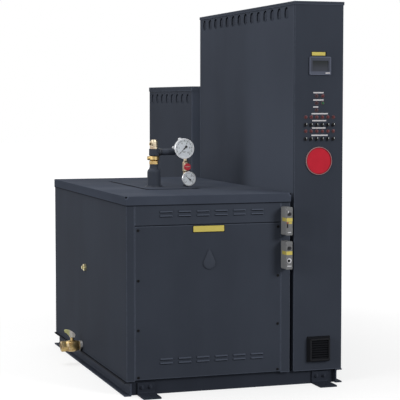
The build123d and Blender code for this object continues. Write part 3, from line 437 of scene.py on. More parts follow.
def sheet_paint(
    name, colour, roughness, specular, box=None, edge=0.0, rub_and_highlight=0.8, dust=0.0, hollow_shade=None, light_and_shade_patches=(),
):
    """Satin paint on folded sheet: orange peel, faint clouding, scuffs, edges rubbed and painted with a
    highlight, painted shade in hollows.

    A patch, of painted light or shade, is its colour, its share, and the steps that it lies in: axis, start,
    end and, where it isn't 0, the least share.
    """
    f = Finish(name, specular=specular)
    grit = f.noise(70.0, 5.0)
    shade = f.clouding(1.6, 5.0, (1.0, 1.0, 0.25), 0.6)
    base = f.shades(f.step(shade, 0.3, 0.7), colour, 0.9, 1.12)
    scratches = f.step(f.noise(26.0, 2.0, f.stretched((1.0, 1.0, 14.0))), 0.71, 0.78)
    rubbed_and_lit = tinted(colour, 2.2)
    base = f.blend(scratches * 0.14, base, rubbed_and_lit)
    wear_and_highlight = scratches * 0.1
    if box:
        # Edges lighter: partly rubbed paint, partly a painted highlight
        wear_and_highlight = f.step(f.edge_distance(box) + (grit - 0.5) * edge * 0.9, edge, 0.0)
        base = f.blend(wear_and_highlight * rub_and_highlight, base, rubbed_and_lit)
    if dust:
        base = f.blend(f.settled_dust(box[1].z) * dust, base, DUST)
    if hollow_shade:
        # Painted shade: the insides of hollows darken to near black
        base = f.blend(f.step(f.least(*f.side_gaps(box)), *hollow_shade), base, PAINTED_SHADE)
    # Patches of painted light and shade
    for painted_tone, share, *steps in light_and_shade_patches:
        for axis, *limits in steps:
            share = f.step(f.axes[axis], *limits) * share
        base = f.blend(share, base, painted_tone)
    return f.sprayed(base, roughness - 0.05 + shade * 0.1 + wear_and_highlight * 0.08, grit)


def lid_paint(name, colour):
    """Matt lid: dust on top, painted shade round the plate's foot, in the corner reliefs and under the skirt's
    lip, and a paler ring round each relief.
    """
    f = Finish(name, specular=0.012)
    lid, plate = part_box("lid"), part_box("service_plate")
    x, y, z = f.axes
    shade = f.clouding(1.3, 4.0, (1.0, 0.3, 1.0), 0.5)
    base = f.shades(f.step(shade, 0.3, 0.7), colour, 0.92, 1.14)
    base = f.blend(f.settled_dust(lid[1].z) * 0.12, base, LID_DUST)
    centre, half = (plate[0] + plate[1]) / 2, (plate[1] - plate[0]) / 2
    over_x = f.maths("ABSOLUTE", x - centre.x) - half.x
    over_y = f.maths("ABSOLUTE", y - centre.y) - half.y
    # Painted shade round the foot of the service plate
    base = f.blend(f.step(f.most(over_x, over_y), 13 * MM, 9 * MM) * 0.95, base, PAINTED_SHADE)
    # Painted shade under the skirt's lip
    base = f.blend(f.step(z, lid[0].z + 4.5 * MM, lid[0].z + 3 * MM) * 0.8, base, PAINTED_SHADE)
    gaps = f.side_gaps(lid)
    down = lid[1].z - z
    corner = f.maths("SQRT", gaps[X] * gaps[X] + gaps[Y] * gaps[Y] + down * down)
    # A paler ring round each corner relief, and painted shade inside the relief
    base = f.blend(f.step(corner, 17.5 * MM, 16.5 * MM), base, tinted(colour, 1.5))
    base = f.blend(f.step(corner, 10.5 * MM, 9.5 * MM), base, PAINTED_SHADE)
    return f.sprayed(base, 0.7 + shade * 0.1, f.noise(70.0, 5.0))


def machined_face(name, colour, steel, back):
    """Painted casting whose end face is bare turned steel."""
    f = Finish(name, specular=0.3)
    bare = f.step(f.axes[Y], back - 2.2 * MM, back - 1.8 * MM)
    rings = f.noise(160.0, 2.0)
    clouds = f.noise(24.0, 4.0)
    f.surface("Metallic", bare)
    base = f.blend(bare, f.shades(clouds, colour, 0.85, 1.2), f.shades(rings, steel, 0.6, 1.0))
    return f.done(base, 0.5 - bare * 0.15 + clouds * 0.08, rings, 0.4, 0.25)


def brass_metal(name, colour, cast, bare=None):
    """Brass: cast grain or turned rings, with dull patches and painted glints, and a steel ring past a line.
    """
    f = Finish(name, metallic=1.0)
    grain = f.noise(240.0, 4.0)
    rings = f.noise(90.0, 2.0, f.stretched((0.15, 0.15, 6.0)))
    dull = f.step(f.noise(38.0, 4.0), 0.42, 0.72)
    base = f.blend(dull * 0.75, colour, (colour[0] * 0.5, colour[1] * 0.38, colour[2] * 0.36))
    # Painted glints: pale patches on the metal
    painted_glints = f.step(f.noise(52.0, 3.0, f.stretched((1.0, 1.0, 0.6))), 0.54, 0.72)
    base = f.blend(painted_glints * 0.6, base, (0.76, 0.67, 0.50))
    base = f.blend(f.step(grain, 0.55, 0.8) * 0.3, base, tinted(colour, 1.25))
    if bare is not None:
        base = f.blend(f.step(f.axes[X], bare - 0.5 * MM, bare + 0.5 * MM), base, (0.44, 0.44, 0.43))
    return f.done(base, 0.3 + dull * 0.2 + rings * 0.08, grain * cast + rings * (1.0 - cast), 0.6, 0.35)


def plated_steel(name, colour, roughness=0.3):
    """Plated steel with a fine turned grain and small stains."""
    f = Finish(name, metallic=1.0)
    grain = f.noise(300.0, 3.0, f.stretched((0.3, 0.3, 3.0)))
    stains = f.step(f.noise(45.0, 4.0), 0.55, 0.8)
    return f.done(f.shades(stains * 0.35, colour, 1.0, 0.62), roughness + grain * 0.12 + stains * 0.12, grain)


def moulded(name, colour, roughness, specular=0.4):
    """Moulded plastic with a fine spark-eroded grain."""
    f = Finish(name, specular=specular)
    grain = f.noise(900.0)
    base = f.shades(f.noise(18.0), colour, 0.85, 1.15)
    return f.done(base, roughness + grain * 0.12 - 0.06, grain, strength=0.3)


def bezel_plastic(name, colour):
    """Moulded frame of the display, with a painted highlight along its rim and along its foot below the
    window.
    """
    f = Finish(name, specular=0.08)
    grain = f.noise(900.0)
    window = low("display_screen").z
    rim = f.step(f.edge_distance(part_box("display_bezel")), 5 * MM, 2.5 * MM)
    foot = f.step(f.axes[Z], window - 0.5 * MM, window - 3.5 * MM)
    base = f.shades(f.noise(18.0), colour, 0.85, 1.15)
    # Painted highlights along the foot below the window and along the rim
    base = f.blend(foot * 0.45, base, tinted(colour, 2.1))
    base = f.blend(rim * 0.75, base, tinted(colour, 2.6))
    return f.done(base, 0.45 + grain * 0.12, grain, strength=0.3)


def dipped_lever(name, coat, steel, tip, heel):
    """Lever with a coat on its outer end, worn to the metal towards the stem."""
    f = Finish(name, specular=0.25)
    clouds = f.noise(70.0, 4.0)
    worn = f.step(f.axes[X] + (clouds - 0.5) * 0.012, tip, heel)
    f.surface("Metallic", worn * 0.55)
    base = f.blend(worn, f.shades(clouds, coat, 0.8, 1.15), f.shades(clouds, steel, 0.6, 1.15))
    return f.done(base, 0.48 - worn * 0.12 + clouds * 0.1, f.noise(400.0, 2.0))


def lamp_lens(name, colour):
    """Faceted lens of an indicator lamp, darker round its collar."""
    f = Finish(name, specular=0.2, coat=0.12)
    facets = f.node("ShaderNodeTexVoronoi", None, {"Vector": f.place, "Scale": 420.0}, output="Distance")
    out = f.step(f.axes[Y], CABINET_FACE - 3 * MM, CABINET_FACE - 7.5 * MM)
    base = f.blend(out, tinted(colour, 0.35), f.shades(facets, colour, 1.15, 1.0))
    return f.done(base, 0.3, facets, 0.6, 0.5)


def medallion_enamel(name, face, rim, radius, band):
    """Round sign: an enamelled face with a darker band at its edge, and a pale rim outside it."""
    f = Finish(name, specular=0.08)
    x, _, z = f.axes
    across = f.maths("SQRT", (x - MEDALLION.x) * (x - MEDALLION.x) + (z - MEDALLION.z) * (z - MEDALLION.z))
    outside = f.step(across, radius - 0.6 * MM, radius + 0.6 * MM)
    clouds = f.noise(30.0)
    grain = f.noise(500.0)
    edge = f.step(across, radius - band, radius - band * 0.8)
    inner = f.blend(edge, f.shades(clouds, face, 0.88, 1.1), tinted(face, 0.5))
    base = f.blend(outside, inner, f.shades(clouds, rim, 0.85, 1.15))
    return f.done(base, 0.45 - outside * 0.03 + grain * 0.05, grain)


def screen_glass(name):
    """Dull display: a field that pales downwards, with the faint grid of its cells."""
    f = Finish(name, roughness=0.3, specular=0.1)
    cell = 0.6 * MM
    columns, rows = (f.maths("PINGPONG", f.axes[axis], cell) / cell for axis in (X, Z))
    tall = f.step(f.axes[Z], high("display_screen").z, low("display_screen").z)
    field = f.blend(tall * (0.6 + f.noise(28.0, 2.0) * 0.4), (0.012, 0.015, 0.016), (0.042, 0.046, 0.062))
    f.surface("Base Color", f.blend(f.least(columns, rows) * 0.2, field, (0.055, 0.06, 0.07)))
    return f.material


def clear_glass(name):
    """Thin window over a dial."""
    f = Finish(name, roughness=0.05)
    f.surface("Base Color", f.blend(f.noise(60.0, 2.0), (0.80, 0.84, 0.86), (0.90, 0.93, 0.95)))
    f.surface("Alpha", 0.03)
    return f.material


def flat_enamel(name, colour, roughness, marks, lit_flank=None):
    """Stove enamel with faint handling marks, and painted light on the side at the given place."""
    f = Finish(name, specular=0.15)
    clouds = f.noise(22.0, 4.0)
    specks = f.step(f.noise(210.0), 0.62, 0.75)
    base = f.shades(clouds, colour, 0.86, 1.1)
    if lit_flank is not None:
        # Painted light on the side
        side = f.step(f.axes[X], lit_flank + 0.6 * MM, lit_flank + 0.2 * MM)
        base = f.blend(side, base, tinted(colour, 1.5))
    base = f.blend(specks * marks, base, tinted(colour, 0.6))
    return f.done(base, roughness + clouds * 0.12, f.noise(400.0, 2.0), strength=0.15)


def stock(name):
    """A finish of the small pieces, made when one first asks for it."""
    scene = bpy.context.scene
    recipes = {
        "slate_bead": (sheet_paint, scene.boiler_paint.slate, 0.42, 0.4),
        "slate_pull": (sheet_paint, tinted(scene.boiler_paint.slate, 1.1), 0.5, 0.05),
        "bolt_paint": (sheet_paint, tinted(scene.boiler_paint.skid, 1.2), 0.5, 0.06),
        "steel_plated": (plated_steel, scene.boiler_metals.steel),
        "ring_steel": (plated_steel, (0.16, 0.165, 0.175), 0.35),
        "ring_rim": (plated_steel, (0.17, 0.085, 0.092), 0.4),
        "plate_yellow": (flat_enamel, scene.boiler_panel.plate, 0.4, 0.25),
        "dial_enamel": (flat_enamel, scene.boiler_panel.dial, 0.35, 0.12),
        "strip_pale": (flat_enamel, (0.52, 0.505, 0.52), 0.5, 0.6),
        "pointer_white": (flat_enamel, (0.58, 0.61, 0.60), 0.45, 0.1),
        "limit_white": (flat_enamel, (0.55, 0.55, 0.57), 0.4, 0.1),
        "screw_black": (moulded, (0.005, 0.005, 0.006), 0.5, 0.1),
        "plate_black": (moulded, (0.008, 0.008, 0.008), 0.6, 0.04),
        "dial_ink": (moulded, (0.015, 0.015, 0.017), 0.5),
        "amber": (moulded, (0.30, 0.07, 0.012), 0.35, 0.3),
        "filter_mat": (moulded, (0.022, 0.022, 0.024), 0.85, 0.2),
        # Pale red of the knob's raised grip bar, partly a painted highlight
        "knob_grip": (moulded, (0.66, 0.36, 0.30), 0.3),
        "clear_glass": (clear_glass,),
    }
    maker, *values = recipes[name]
    return bpy.data.materials.get(name) or maker(name, *values)


def dress(material, *names):
    """Gives CAD nodes a material."""
    for name in names:
        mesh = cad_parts[name].data
        mesh.materials.clear()
        mesh.materials.append(material)


# Meshes


def turn_to(direction):
    """Rotation that takes +Z to a direction, +Y staying as near up as it can."""
    z = direction.normalized()
    x = UPWARD.cross(z) if abs(z.z) < 0.99 else RIGHTWARD.copy()
    x.normalize()
    return Matrix((x, z.cross(x), z)).transposed().to_4x4()


def placed(origin, direction=FORWARD):
    """Matrix of a local frame in millimetres at a point, its +Z along a direction and its +Y up."""
    return Matrix.Translation(origin) @ turn_to(direction) @ Matrix.Scale(MM, 4)


def arc(x, y, radius, start, end, steps):
    """Points along an arc, with both its ends."""
    angles = [start + (end - start) * k / steps for k in range(steps + 1)]
    return [(x + radius * cos(a), y + radius * sin(a)) for a in angles]


class Shape:
    """Closed forms gathered in one mesh, which becomes one piece. Their sizes are in millimetres."""

    def __init__(self):
        self.bm = bmesh.new()

    def ring(self, points, height, matrix):
        """Vertices at points of (x, y) at a height."""
        return [self.bm.verts.new(matrix @ Vector((x, y, height))) for x, y in points]

    def skin(self, rings):
        """Faces from each ring of vertices to the next, and over the first and the last ring."""
        for one, two in zip(rings, rings[1:]):
            for k in range(max(len(one), len(two))):
                n = k + 1
                quad = (one[k % len(one)], one[n % len(one)], two[n % len(two)], two[k % len(two)])
                corners = list(dict.fromkeys(quad))
                if len(corners) > 2:
                    self.bm.faces.new(corners)
        for cap in (rings[0][::-1], rings[-1]):
            if len(cap) > 2:
                self.bm.faces.new(cap)

    def turn(self, profile, matrix, steps=40):
        """Revolves a profile of (radius, height) about local Z. It starts and ends on the axis."""
        rings = []
        for radius, height in profile:
            circle = arc(0, 0, radius, 0, 2 * pi, steps)[:-1] if radius else [(0, 0)]
            rings.append(self.ring(circle, height, matrix))
        self.skin(rings)

    def slab(self, outline, matrix, thick, bevel=0.0):
        """Extrudes a closed outline of (x, y) along local Z, its front edge bevelled."""
        centre = sum((Vector(point) for point in outline), Vector((0, 0))) / len(outline)
        inner = []
        for point in outline:
            away = Vector(point) - centre
            shrink = away.normalized() * bevel if away.length > bevel else Vector((0, 0))
            inner.append(tuple(Vector(point) - shrink))
        levels = [(outline, 0.0), (outline, thick - bevel)]
        if bevel:
            levels.append((inner, thick))
        self.skin([self.ring(points, height, matrix) for points, height in levels])

    def plate(self, centre, direction, width, height, thick, corner, bevel=0.3):
        """Rounded plate lying on a face."""
        outline = []
        for quarter, (side, end) in enumerate(((1, 1), (-1, 1), (-1, -1), (1, -1))):
            start = pi / 2 * quarter
            outline += arc(
                side * (width / 2 - corner), end * (height / 2 - corner), corner, start, start + pi / 2, 5
            )
        self.slab(outline, placed(centre, direction), thick, bevel)

    def piece(self, name, finish, body="boiler", slot=None, crease=35.0):
        """The piece: doubles merged, normals outwards, sharp edges kept. It rides on its body."""
        bm = self.bm
        bmesh.ops.remove_doubles(bm, verts=bm.verts, dist=1e-6)
        bmesh.ops.recalc_face_normals(bm, faces=bm.faces)
        for face in bm.faces:
            face.smooth = True
        for edge in bm.edges:
            if len(edge.link_faces) == 2 and edge.calc_face_angle(0.0) > radians(crease):
                edge.smooth = False
        mesh = bpy.data.meshes.new(name)
        bm.to_mesh(mesh)
        bm.free()
        mesh.materials.append(stock(finish))
        obj = bpy.data.objects.new(name, mesh)
        bpy.context.scene.collection.objects.link(obj)
        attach(obj, body)
        return obj


# Geometry Nodes


class Pattern(Shop):
    """One Geometry Nodes tree that repeats a small shape, and the piece that comes of it."""

    def __init__(self, piece):
        super().__init__(bpy.data.node_groups.new(piece, "GeometryNodeTree"))
        self.piece = piece
        self.sizes = {}
        for side in ("INPUT", "OUTPUT"):
            self.tree.interface.new_socket("Geometry", in_out=side, socket_type="NodeSocketGeometry")
        self.start = self.tree.nodes.new("NodeGroupInput")
        self.end = self.tree.nodes.new("NodeGroupOutput")

    def size(self, name, value, kind="NodeSocketFloat"):
        """A named input of the tree with its value."""
        socket = self.tree.interface.new_socket(name, in_out="INPUT", socket_type=kind)
        self.sizes[socket.identifier] = value
        return Term(self, self.start.outputs[name])

    def join(self, *parts):
        """Several geometries as one."""
        made = self.node("GeometryNodeJoinGeometry")
        for part in reversed(parts):
            self.tree.links.new(part.socket, made.socket.node.inputs[0])
        return made

    def vector(self, x, y, z):
        """Three numbers as a vector."""
        return self.node("ShaderNodeCombineXYZ", None, {0: x, 1: y, 2: z})

    def moved(self, shape, x, y, z):
        """A shape at another place."""
        shift = self.vector(x, y, z)
        return self.node("GeometryNodeTransform", None, {"Geometry": shape, "Translation": shift})

    def cylinder(self, radius, bottom, top, sides):
        """Upright cylinder between two levels."""
        sizes = {"Vertices": sides, "Radius": radius, "Depth": top - bottom}
        made = self.node("GeometryNodeMeshCylinder", None, sizes)
        return self.moved(made, 0.0, 0.0, (bottom + top) * 0.5)

    def block(self, x, y, z):
        """Block about the origin."""
        return self.node("GeometryNodeMeshCube", None, {"Size": self.vector(x, y, z)})

    def circle(self, radius, sides):
        """Round curve about the vertical."""
        return self.node("GeometryNodeCurvePrimitiveCircle", None, {"Resolution": sides, "Radius": radius})

    def facing(self):
        """Rotation of each point, from its facing attribute and its own turn."""
        kind = "GeometryNodeInputNamedAttribute"
        facing = self.node(kind, {"data_type": "FLOAT_VECTOR"}, {"Name": "facing"})
        turn = self.node(kind, {"data_type": "FLOAT"}, {"Name": "turn"})
        spin = self.node("FunctionNodeAxisAngleToRotation", None, {"Axis": (0.0, 0.0, 1.0), "Angle": turn})
        aim = self.node("FunctionNodeAlignRotationToVector", {"axis": "Z"}, {"Vector": facing})
        return self.node("FunctionNodeRotateRotation", {"rotation_space": "LOCAL"}, {0: aim, 1: spin})

    def repeat(self, shape, points, finish, scale=(1.0, 1.0, 1.0), **words):
        """Puts the shape on points of (place, direction, turn), and makes the piece of it."""
        spots = Term(self, self.start.outputs[0])
        spread = {"Points": spots, "Instance": shape, "Rotation": self.facing(), "Scale": scale}
        real = self.node("GeometryNodeInstanceOnPoints", None, spread)
        real = self.node("GeometryNodeRealizeInstances", None, {"Geometry": real})
        real = self.node("GeometryNodeSetMaterial", None, {"Geometry": real, "Material": stock(finish)})
        self.feed(self.end.inputs[0], real)
        mesh = bpy.data.meshes.new(self.piece + "_points")
        mesh.from_pydata([tuple(place) for place, _, _ in points], [], [])
        facings = mesh.attributes.new("facing", "FLOAT_VECTOR", "POINT")
        for spot, (_, direction, _) in zip(facings.data, points):
            spot.vector = direction
        turns = mesh.attributes.new("turn", "FLOAT", "POINT")
        for spot, (_, _, turn) in zip(turns.data, points):
            spot.value = turn
        carrier = bpy.data.objects.new(self.piece + "_points", mesh)
        bpy.context.scene.collection.objects.link(carrier)
        live = carrier.modifiers.new("pattern", "NODES")
        live.node_group = self.tree
        for identifier, value in self.sizes.items():
            live[identifier] = value
        shown = carrier.evaluated_get(bpy.context.evaluated_depsgraph_get())
        plain = bpy.data.meshes.new_from_object(shown)
        bpy.data.objects.remove(carrier)
        bpy.data.meshes.remove(mesh)
        made = Shape()
        made.bm.from_mesh(plain)
        bpy.data.meshes.remove(plain)
        return made.piece(self.piece, finish, **words)


def panel_screws(piece, radius, height, points, finish="screw_black"):
    """Pan-head screws with a crossed recess."""
    p = Pattern(piece)
    wide = p.size("Head radius", radius)
    tall = p.size("Head height", height)
    slit = p.size("Recess width", radius * 0.26)
    head = p.join(p.cylinder(wide, 0.0, tall * 0.6, 20), p.cylinder(wide * 0.8, 0.0, tall, 20))
    cut = p.node("GeometryNodeMeshBoolean", {"operation": "DIFFERENCE", "solver": "EXACT"}, {0: head})
    for x, y in ((wide * 1.1, slit), (slit, wide * 1.1)):
        bar = p.moved(p.block(x, y, tall), 0.0, 0.0, tall)
        p.tree.links.new(bar.socket, cut.socket.node.inputs[1])
    p.repeat(cut, points, finish, slot="steel")


def hex_nuts(piece, flats, height, stud, points, finish, washer=False, body="boiler"):
    """Hexagons with a stud end through each, its radius a share of their size across flats."""
    p = Pattern(piece)
    wide = p.size("Across flats", flats * MM)
    tall = p.size("Height", height * MM)
    seat = tall * 0.2 if washer else 0.0
    parts = [p.cylinder(wide * 0.577, seat, tall, 6), p.cylinder(wide * stud, 0.0, tall * 1.5, 18)]
    if washer:
        parts.insert(0, p.cylinder(wide * 0.72, 0.0, seat, 28))
    p.repeat(p.join(*parts), points, finish, body=body, slot="steel")


def beads(piece, radius, wire, sides, points, finish="slate_bead", slot="dark_paint"):
    """Round beads, such as welds, lamp rims and the crests of a thread."""
    p = Pattern(piece)
    path = p.circle(p.size("Ring radius", radius * MM), sides)
    section = p.circle(p.size("Bead radius", wire * MM), 10)
    tube = p.node("GeometryNodeCurveToMesh", None, {"Curve": path, "Profile Curve": section})
    p.repeat(tube, points, finish, slot=slot, crease=60.0)


# Operators


class BOILER_OT_housing(bpy.types.Operator):
    """Paints the jacket, the cabinets and the lid"""

    bl_idname = "boiler.housing"
    bl_label = "Paint the housing"

    def execute(self, context):
        paint = context.scene.boiler_paint
        for name in (
            "vessel_block", "side_panel_left", "side_panel_right", "rear_panel", "upper_front_panel",
            "access_panel", "cabinet_body", "cabinet_front", "cabinet_cap", "rear_cabinet",
            "rear_cabinet_cap", "wireway",
        ):
            lowest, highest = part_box(name)
            # Painted light and shade: some panels get a lighter or darker copy of the paint
            slate = tinted(paint.slate, PAINTED_TONES.get(name, 1.0))
            light_and_shade_patches = []
            if name in ("upper_front_panel", "access_panel"):
                lowest.y = JACKET_FACE
                # Painted highlight on the louvre hoods that stand proud of the face
                proud_highlight = (Y, JACKET_FACE - 2.5 * MM, JACKET_FACE - 6 * MM)
                light_and_shade_patches.append((tinted(slate, 1.9), 0.65, proud_highlight))
            if name == "upper_front_panel":
                # Painted shade in the gap below the upper panel
                light_and_shade_patches.append((PAINTED_SHADE, 0.85, (Z, lowest.z + 3.6 * MM, lowest.z + 2.4 * MM)))
            # Painted light on the rear cabinet's front face near its left side, where it shows in the gap
            # behind the tall cabinet
            if name in ("rear_cabinet", "rear_cabinet_cap"):
                front = (Y, lowest.y + 2 * MM, lowest.y + 1 * MM)
                left = (X, lowest.x + 115 * MM, lowest.x + 75 * MM)
                light_and_shade_patches.append((tinted(slate, 3.0), 1.0, front, left))
            # Painted light on the tall cabinet's left side, lighter towards its front and its foot
            if name == "cabinet_body":
                left = (X, lowest.x + 40 * MM, lowest.x + 20 * MM)
                front, foot = (Y, 0.0, -250 * MM), (Z, 1800 * MM, 1050 * MM, 0.25)
                light_and_shade_patches.append((tinted(slate, 1.55), 1.0, left, front, foot))
            finish = sheet_paint(
                "slate_" + name, slate, paint.satin, paint.sheen_level, (lowest, highest), paint.edge_width,
                dust=0.35 if name.endswith("_cap") else 0.0, hollow_shade=HOLLOW_SHADE.get(name), light_and_shade_patches=light_and_shade_patches,
            )
            dress(finish, name)
        dress(lid_paint("lid_paint", paint.lid), "lid")
        top = high("service_plate").z
        # Painted shade along the service plate's edge
        finish = sheet_paint(
            "lid_paint_plate", paint.lid, 0.72, paint.sheen_level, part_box("service_plate"), paint.edge_width,
            rub_and_highlight=0.3, dust=0.12, light_and_shade_patches=[(PAINTED_SHADE, 0.85, (Z, top - 0.5 * MM, top - 0.9 * MM))],
        )
        dress(finish, "service_plate")
        pipe = sheet_paint("slate_pipe", tinted(paint.slate, 1.25), 0.5, 0.08)
        dress(pipe, "vessel_nozzle", "manifold_pipe", "gauge_riser")
        steel = context.scene.boiler_metals.steel
        back = high("water_connections").y
        dress(machined_face("slate_flange", paint.slate, steel, back), "water_connections")
        return {"FINISHED"}


class BOILER_OT_pull(bpy.types.Operator):
    """Makes the domed teardrop pull of the access panel"""

    bl_idname = "boiler.pull"
    bl_label = "Make the pull"

    def execute(self, context):
        lowest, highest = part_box("panel_pull")
        wide = (highest.x - lowest.x) / 2 / MM
        tall = (highest.z - lowest.z) / MM
        round_tip = 6
        tip = tall - wide - round_tip
        slant = asin((wide - round_tip) / tip)
        outline = arc(0, tip, round_tip, slant, pi - slant, 8)
        outline += arc(0, 0, wide, pi - slant, 2 * pi + slant, 36)
        matrix = placed(Vector(((lowest.x + highest.x) / 2, highest.y, lowest.z + wide * MM)))
        shape = Shape()
        rings = []
        for share, rise in PULL_DOME:
            inset = [(x * share, (y - wide / 3) * share + wide / 3) for x, y in outline]
            rings.append(shape.ring(inset, rise, matrix))
        shape.skin(rings)
        piece = shape.piece("teardrop_pull", "slate_pull", slot="dark_paint", crease=60.0)
        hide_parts("panel_pull")
        return {"FINISHED"}


class BOILER_OT_skid(bpy.types.Operator):
    """Paints the skid and its floor clips"""

    bl_idname = "boiler.skid"
    bl_label = "Paint the skid"

    def execute(self, context):
        skid = context.scene.boiler_paint.skid
        for name in (
            "skid_rail_left", "skid_rail_right", "skid_beam_front", "skid_beam_rear", "skid_rail_inner",
            "skid_beam_end", "skid_cross_members", "floor_clips_front", "floor_clips_rear",
        ):
            painted_light_tint, light_and_shade_patches = 1.0, []
            # Painted light on the left rail, and painted shade on its top flange below the jacket
            if name == "skid_rail_left":
                top = high(name).z
                painted_light_tint, light_and_shade_patches = 1.7, [(PAINTED_SHADE, 0.85, (Z, top - 9 * MM, top - 8 * MM))]
            paint = sheet_paint(
                "skid_" + name, tinted(skid, painted_light_tint), 0.6, 0.03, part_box(name), 4 * MM, light_and_shade_patches=light_and_shade_patches
            )
            dress(paint, name)
        return {"FINISHED"}


class BOILER_OT_fittings(bpy.types.Operator):
    """Gives the brass, steel, plastic and lenses their finishes"""

    bl_idname = "boiler.fittings"
    bl_label = "Finish the fittings"

    def execute(self, context):
        metals = context.scene.boiler_metals
        panel = context.scene.boiler_panel
        collar = high("drain_valve").x - 15.5 * MM
        side = low("limit_control_upper").x
        dress(brass_metal("brass_drain", metals.brass, 0.7, collar), "drain_valve")
        dress(brass_metal("brass_cast", tinted(metals.brass, 1.15), 0.7), "brass_union")
        dress(brass_metal("brass_turned", (0.74, 0.67, 0.40), 0.3), "side_plug")
        dress(brass_metal("brass_pale", metals.pale_brass, 0.4), "relief_valve", "gauge_cock")
        dress(plated_steel("gauge_case", metals.steel, 0.28), "pressure_gauge", "small_gauge")
        dress(moulded("cock_red", tinted(panel.red, 1.25), 0.3), "cock_knob")
        lever = dipped_lever("lever_coat", metals.lever, (0.80, 0.76, 0.70), -665 * MM, -651 * MM)
        dress(lever, "drain_lever")
        # Painted light on the limit controls' left sides
        grey = flat_enamel("limit_grey", panel.grey, 0.42, 0.25, side)
        dress(grey, "limit_control_upper", "limit_control_lower")
        dress(moulded("black_knob", (0.009, 0.009, 0.011), 0.4, 0.2), "limit_knobs", "selector_switches")
        dress(moulded("fan_black", (0.0075, 0.008, 0.010), 0.55, 0.1), "fan_grille")
        dress(bezel_plastic("bezel_grey", (0.050, 0.056, 0.076)), "display_bezel")
        dress(screen_glass("screen_glass"), "display_screen")
        dress(lamp_lens("lens_red", (0.095, 0.015, 0.019)), "lamps_red")
        dress(lamp_lens("lens_dark", (0.035, 0.012, 0.015)), "lamps_dark")
        dress(lamp_lens("lens_green", (0.010, 0.085, 0.035)), "lamp_green")
        sign = medallion_enamel("medallion_face", panel.red, (0.28, 0.17, 0.175), 69.5 * MM, 4.5 * MM)
        dress(sign, "medallion")
        return {"FINISHED"}


class BOILER_OT_screws(bpy.types.Operator):
    """Adds the panel screws"""

    bl_idname = "boiler.screws"
    bl_label = "Add the panel screws"

    def execute(self, context):
        # A screw is turned by its place, so that the recesses point every way
        left, right = low("access_panel").x + 16.8 * MM, high("access_panel").x - 16.8 * MM
        points = [
            (at(x, PANEL_FACE, z), FORWARD, twist + z)
            for z in ACCESS_ROWS for x, twist in ((left, 0.3), (right, 0.9))
        ]
        panel_screws("access_screws", context.scene.boiler_metals.screw_radius, 3.0 * MM, points)
        left, right, back = low("side_panel_left").x, high("side_panel_right").x, high("rear_panel").y
        points = [
            (at(right - 0.2 * MM, y, z), RIGHTWARD, z)
            for z in SIDE_PANEL_ROWS for y in (back - 18 * MM, back - 260 * MM)
        ]
        points += [
            (at(x, back, z), BACKWARD, x + z)
            for x in (left + 22 * MM, left + 440 * MM, right - 22 * MM) for z in REAR_PANEL_ROWS
        ]
        near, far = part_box("rear_cabinet")
        inset = 56 * MM
        points += [
            (at(x, far.y, z), BACKWARD, x * 9 + z)
            for x in (near.x + inset, far.x - inset) for z in REAR_CABINET_ROWS
        ]
        points += [
            (at(far.x, y, z), RIGHTWARD, y * 7 + z)
            for y in (near.y + inset, (near.y + far.y) / 2, far.y - inset) for z in REAR_CABINET_ROWS
        ]
        points += [
            (at(high("cabinet_body").x, y * MM, z), RIGHTWARD, y + z)
            for y in TALL_CABINET_COLUMNS for z in TALL_CABINET_ROWS
        ]
        panel_screws("rear_screws", 5.5 * MM, 2.6 * MM, points)
        return {"FINISHED"}


def edged_plate(name, place, edge, face, offset):
    """Yellow plate on a black one: width, height, thickness and corner radius of each, in millimetres."""
    for piece, finish, sizes, shift in (
        (name + "_edge", "plate_black", edge, (0, 0, 0)),
        (name, "plate_yellow", face, (offset, -edge[2], 0)),
    ):
        shape = Shape()
        shape.plate(place + Vector(shift) * MM, FORWARD, *sizes)
        shape.piece(piece, finish)


class BOILER_OT_plates(bpy.types.Operator):
    """Adds the bare plates and label strips"""

    bl_idname = "boiler.plates"
    bl_label = "Add the plates"

    def execute(self, context):
        access = at(-148.5 * MM, PANEL_FACE, ACCESS_ROWS[0])
        edged_plate("access_plate", access, (172, 37, 0.9, 3), (165, 30, 0.6, 2.5), 0.5)
        display = at(PANEL_MID - 6 * MM, CABINET_FACE, DISPLAY_PLATE)
        edged_plate("display_plate", display, (86, 23, 1, 2), (75, 18, 0.5, 1.5), -1.5)
        strips = Shape()
        for z, offset, width in LABEL_STRIPS:
            strips.plate(at(PANEL_MID + offset * MM, CABINET_FACE, z), FORWARD, width, 6.5, 0.5, 1, 0.1)
        strips.piece("label_strips", "strip_pale")
        lowest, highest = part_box("display_bezel")
        tab = Shape()
        place = Vector((highest.x - 19 * MM, lowest.y, lowest.z + 10.5 * MM))
        tab.plate(place, FORWARD, 25, 5.5, 0.5, 1.5, 0.1)
        tab.piece("display_tab", "strip_pale")
        return {"FINISHED"}


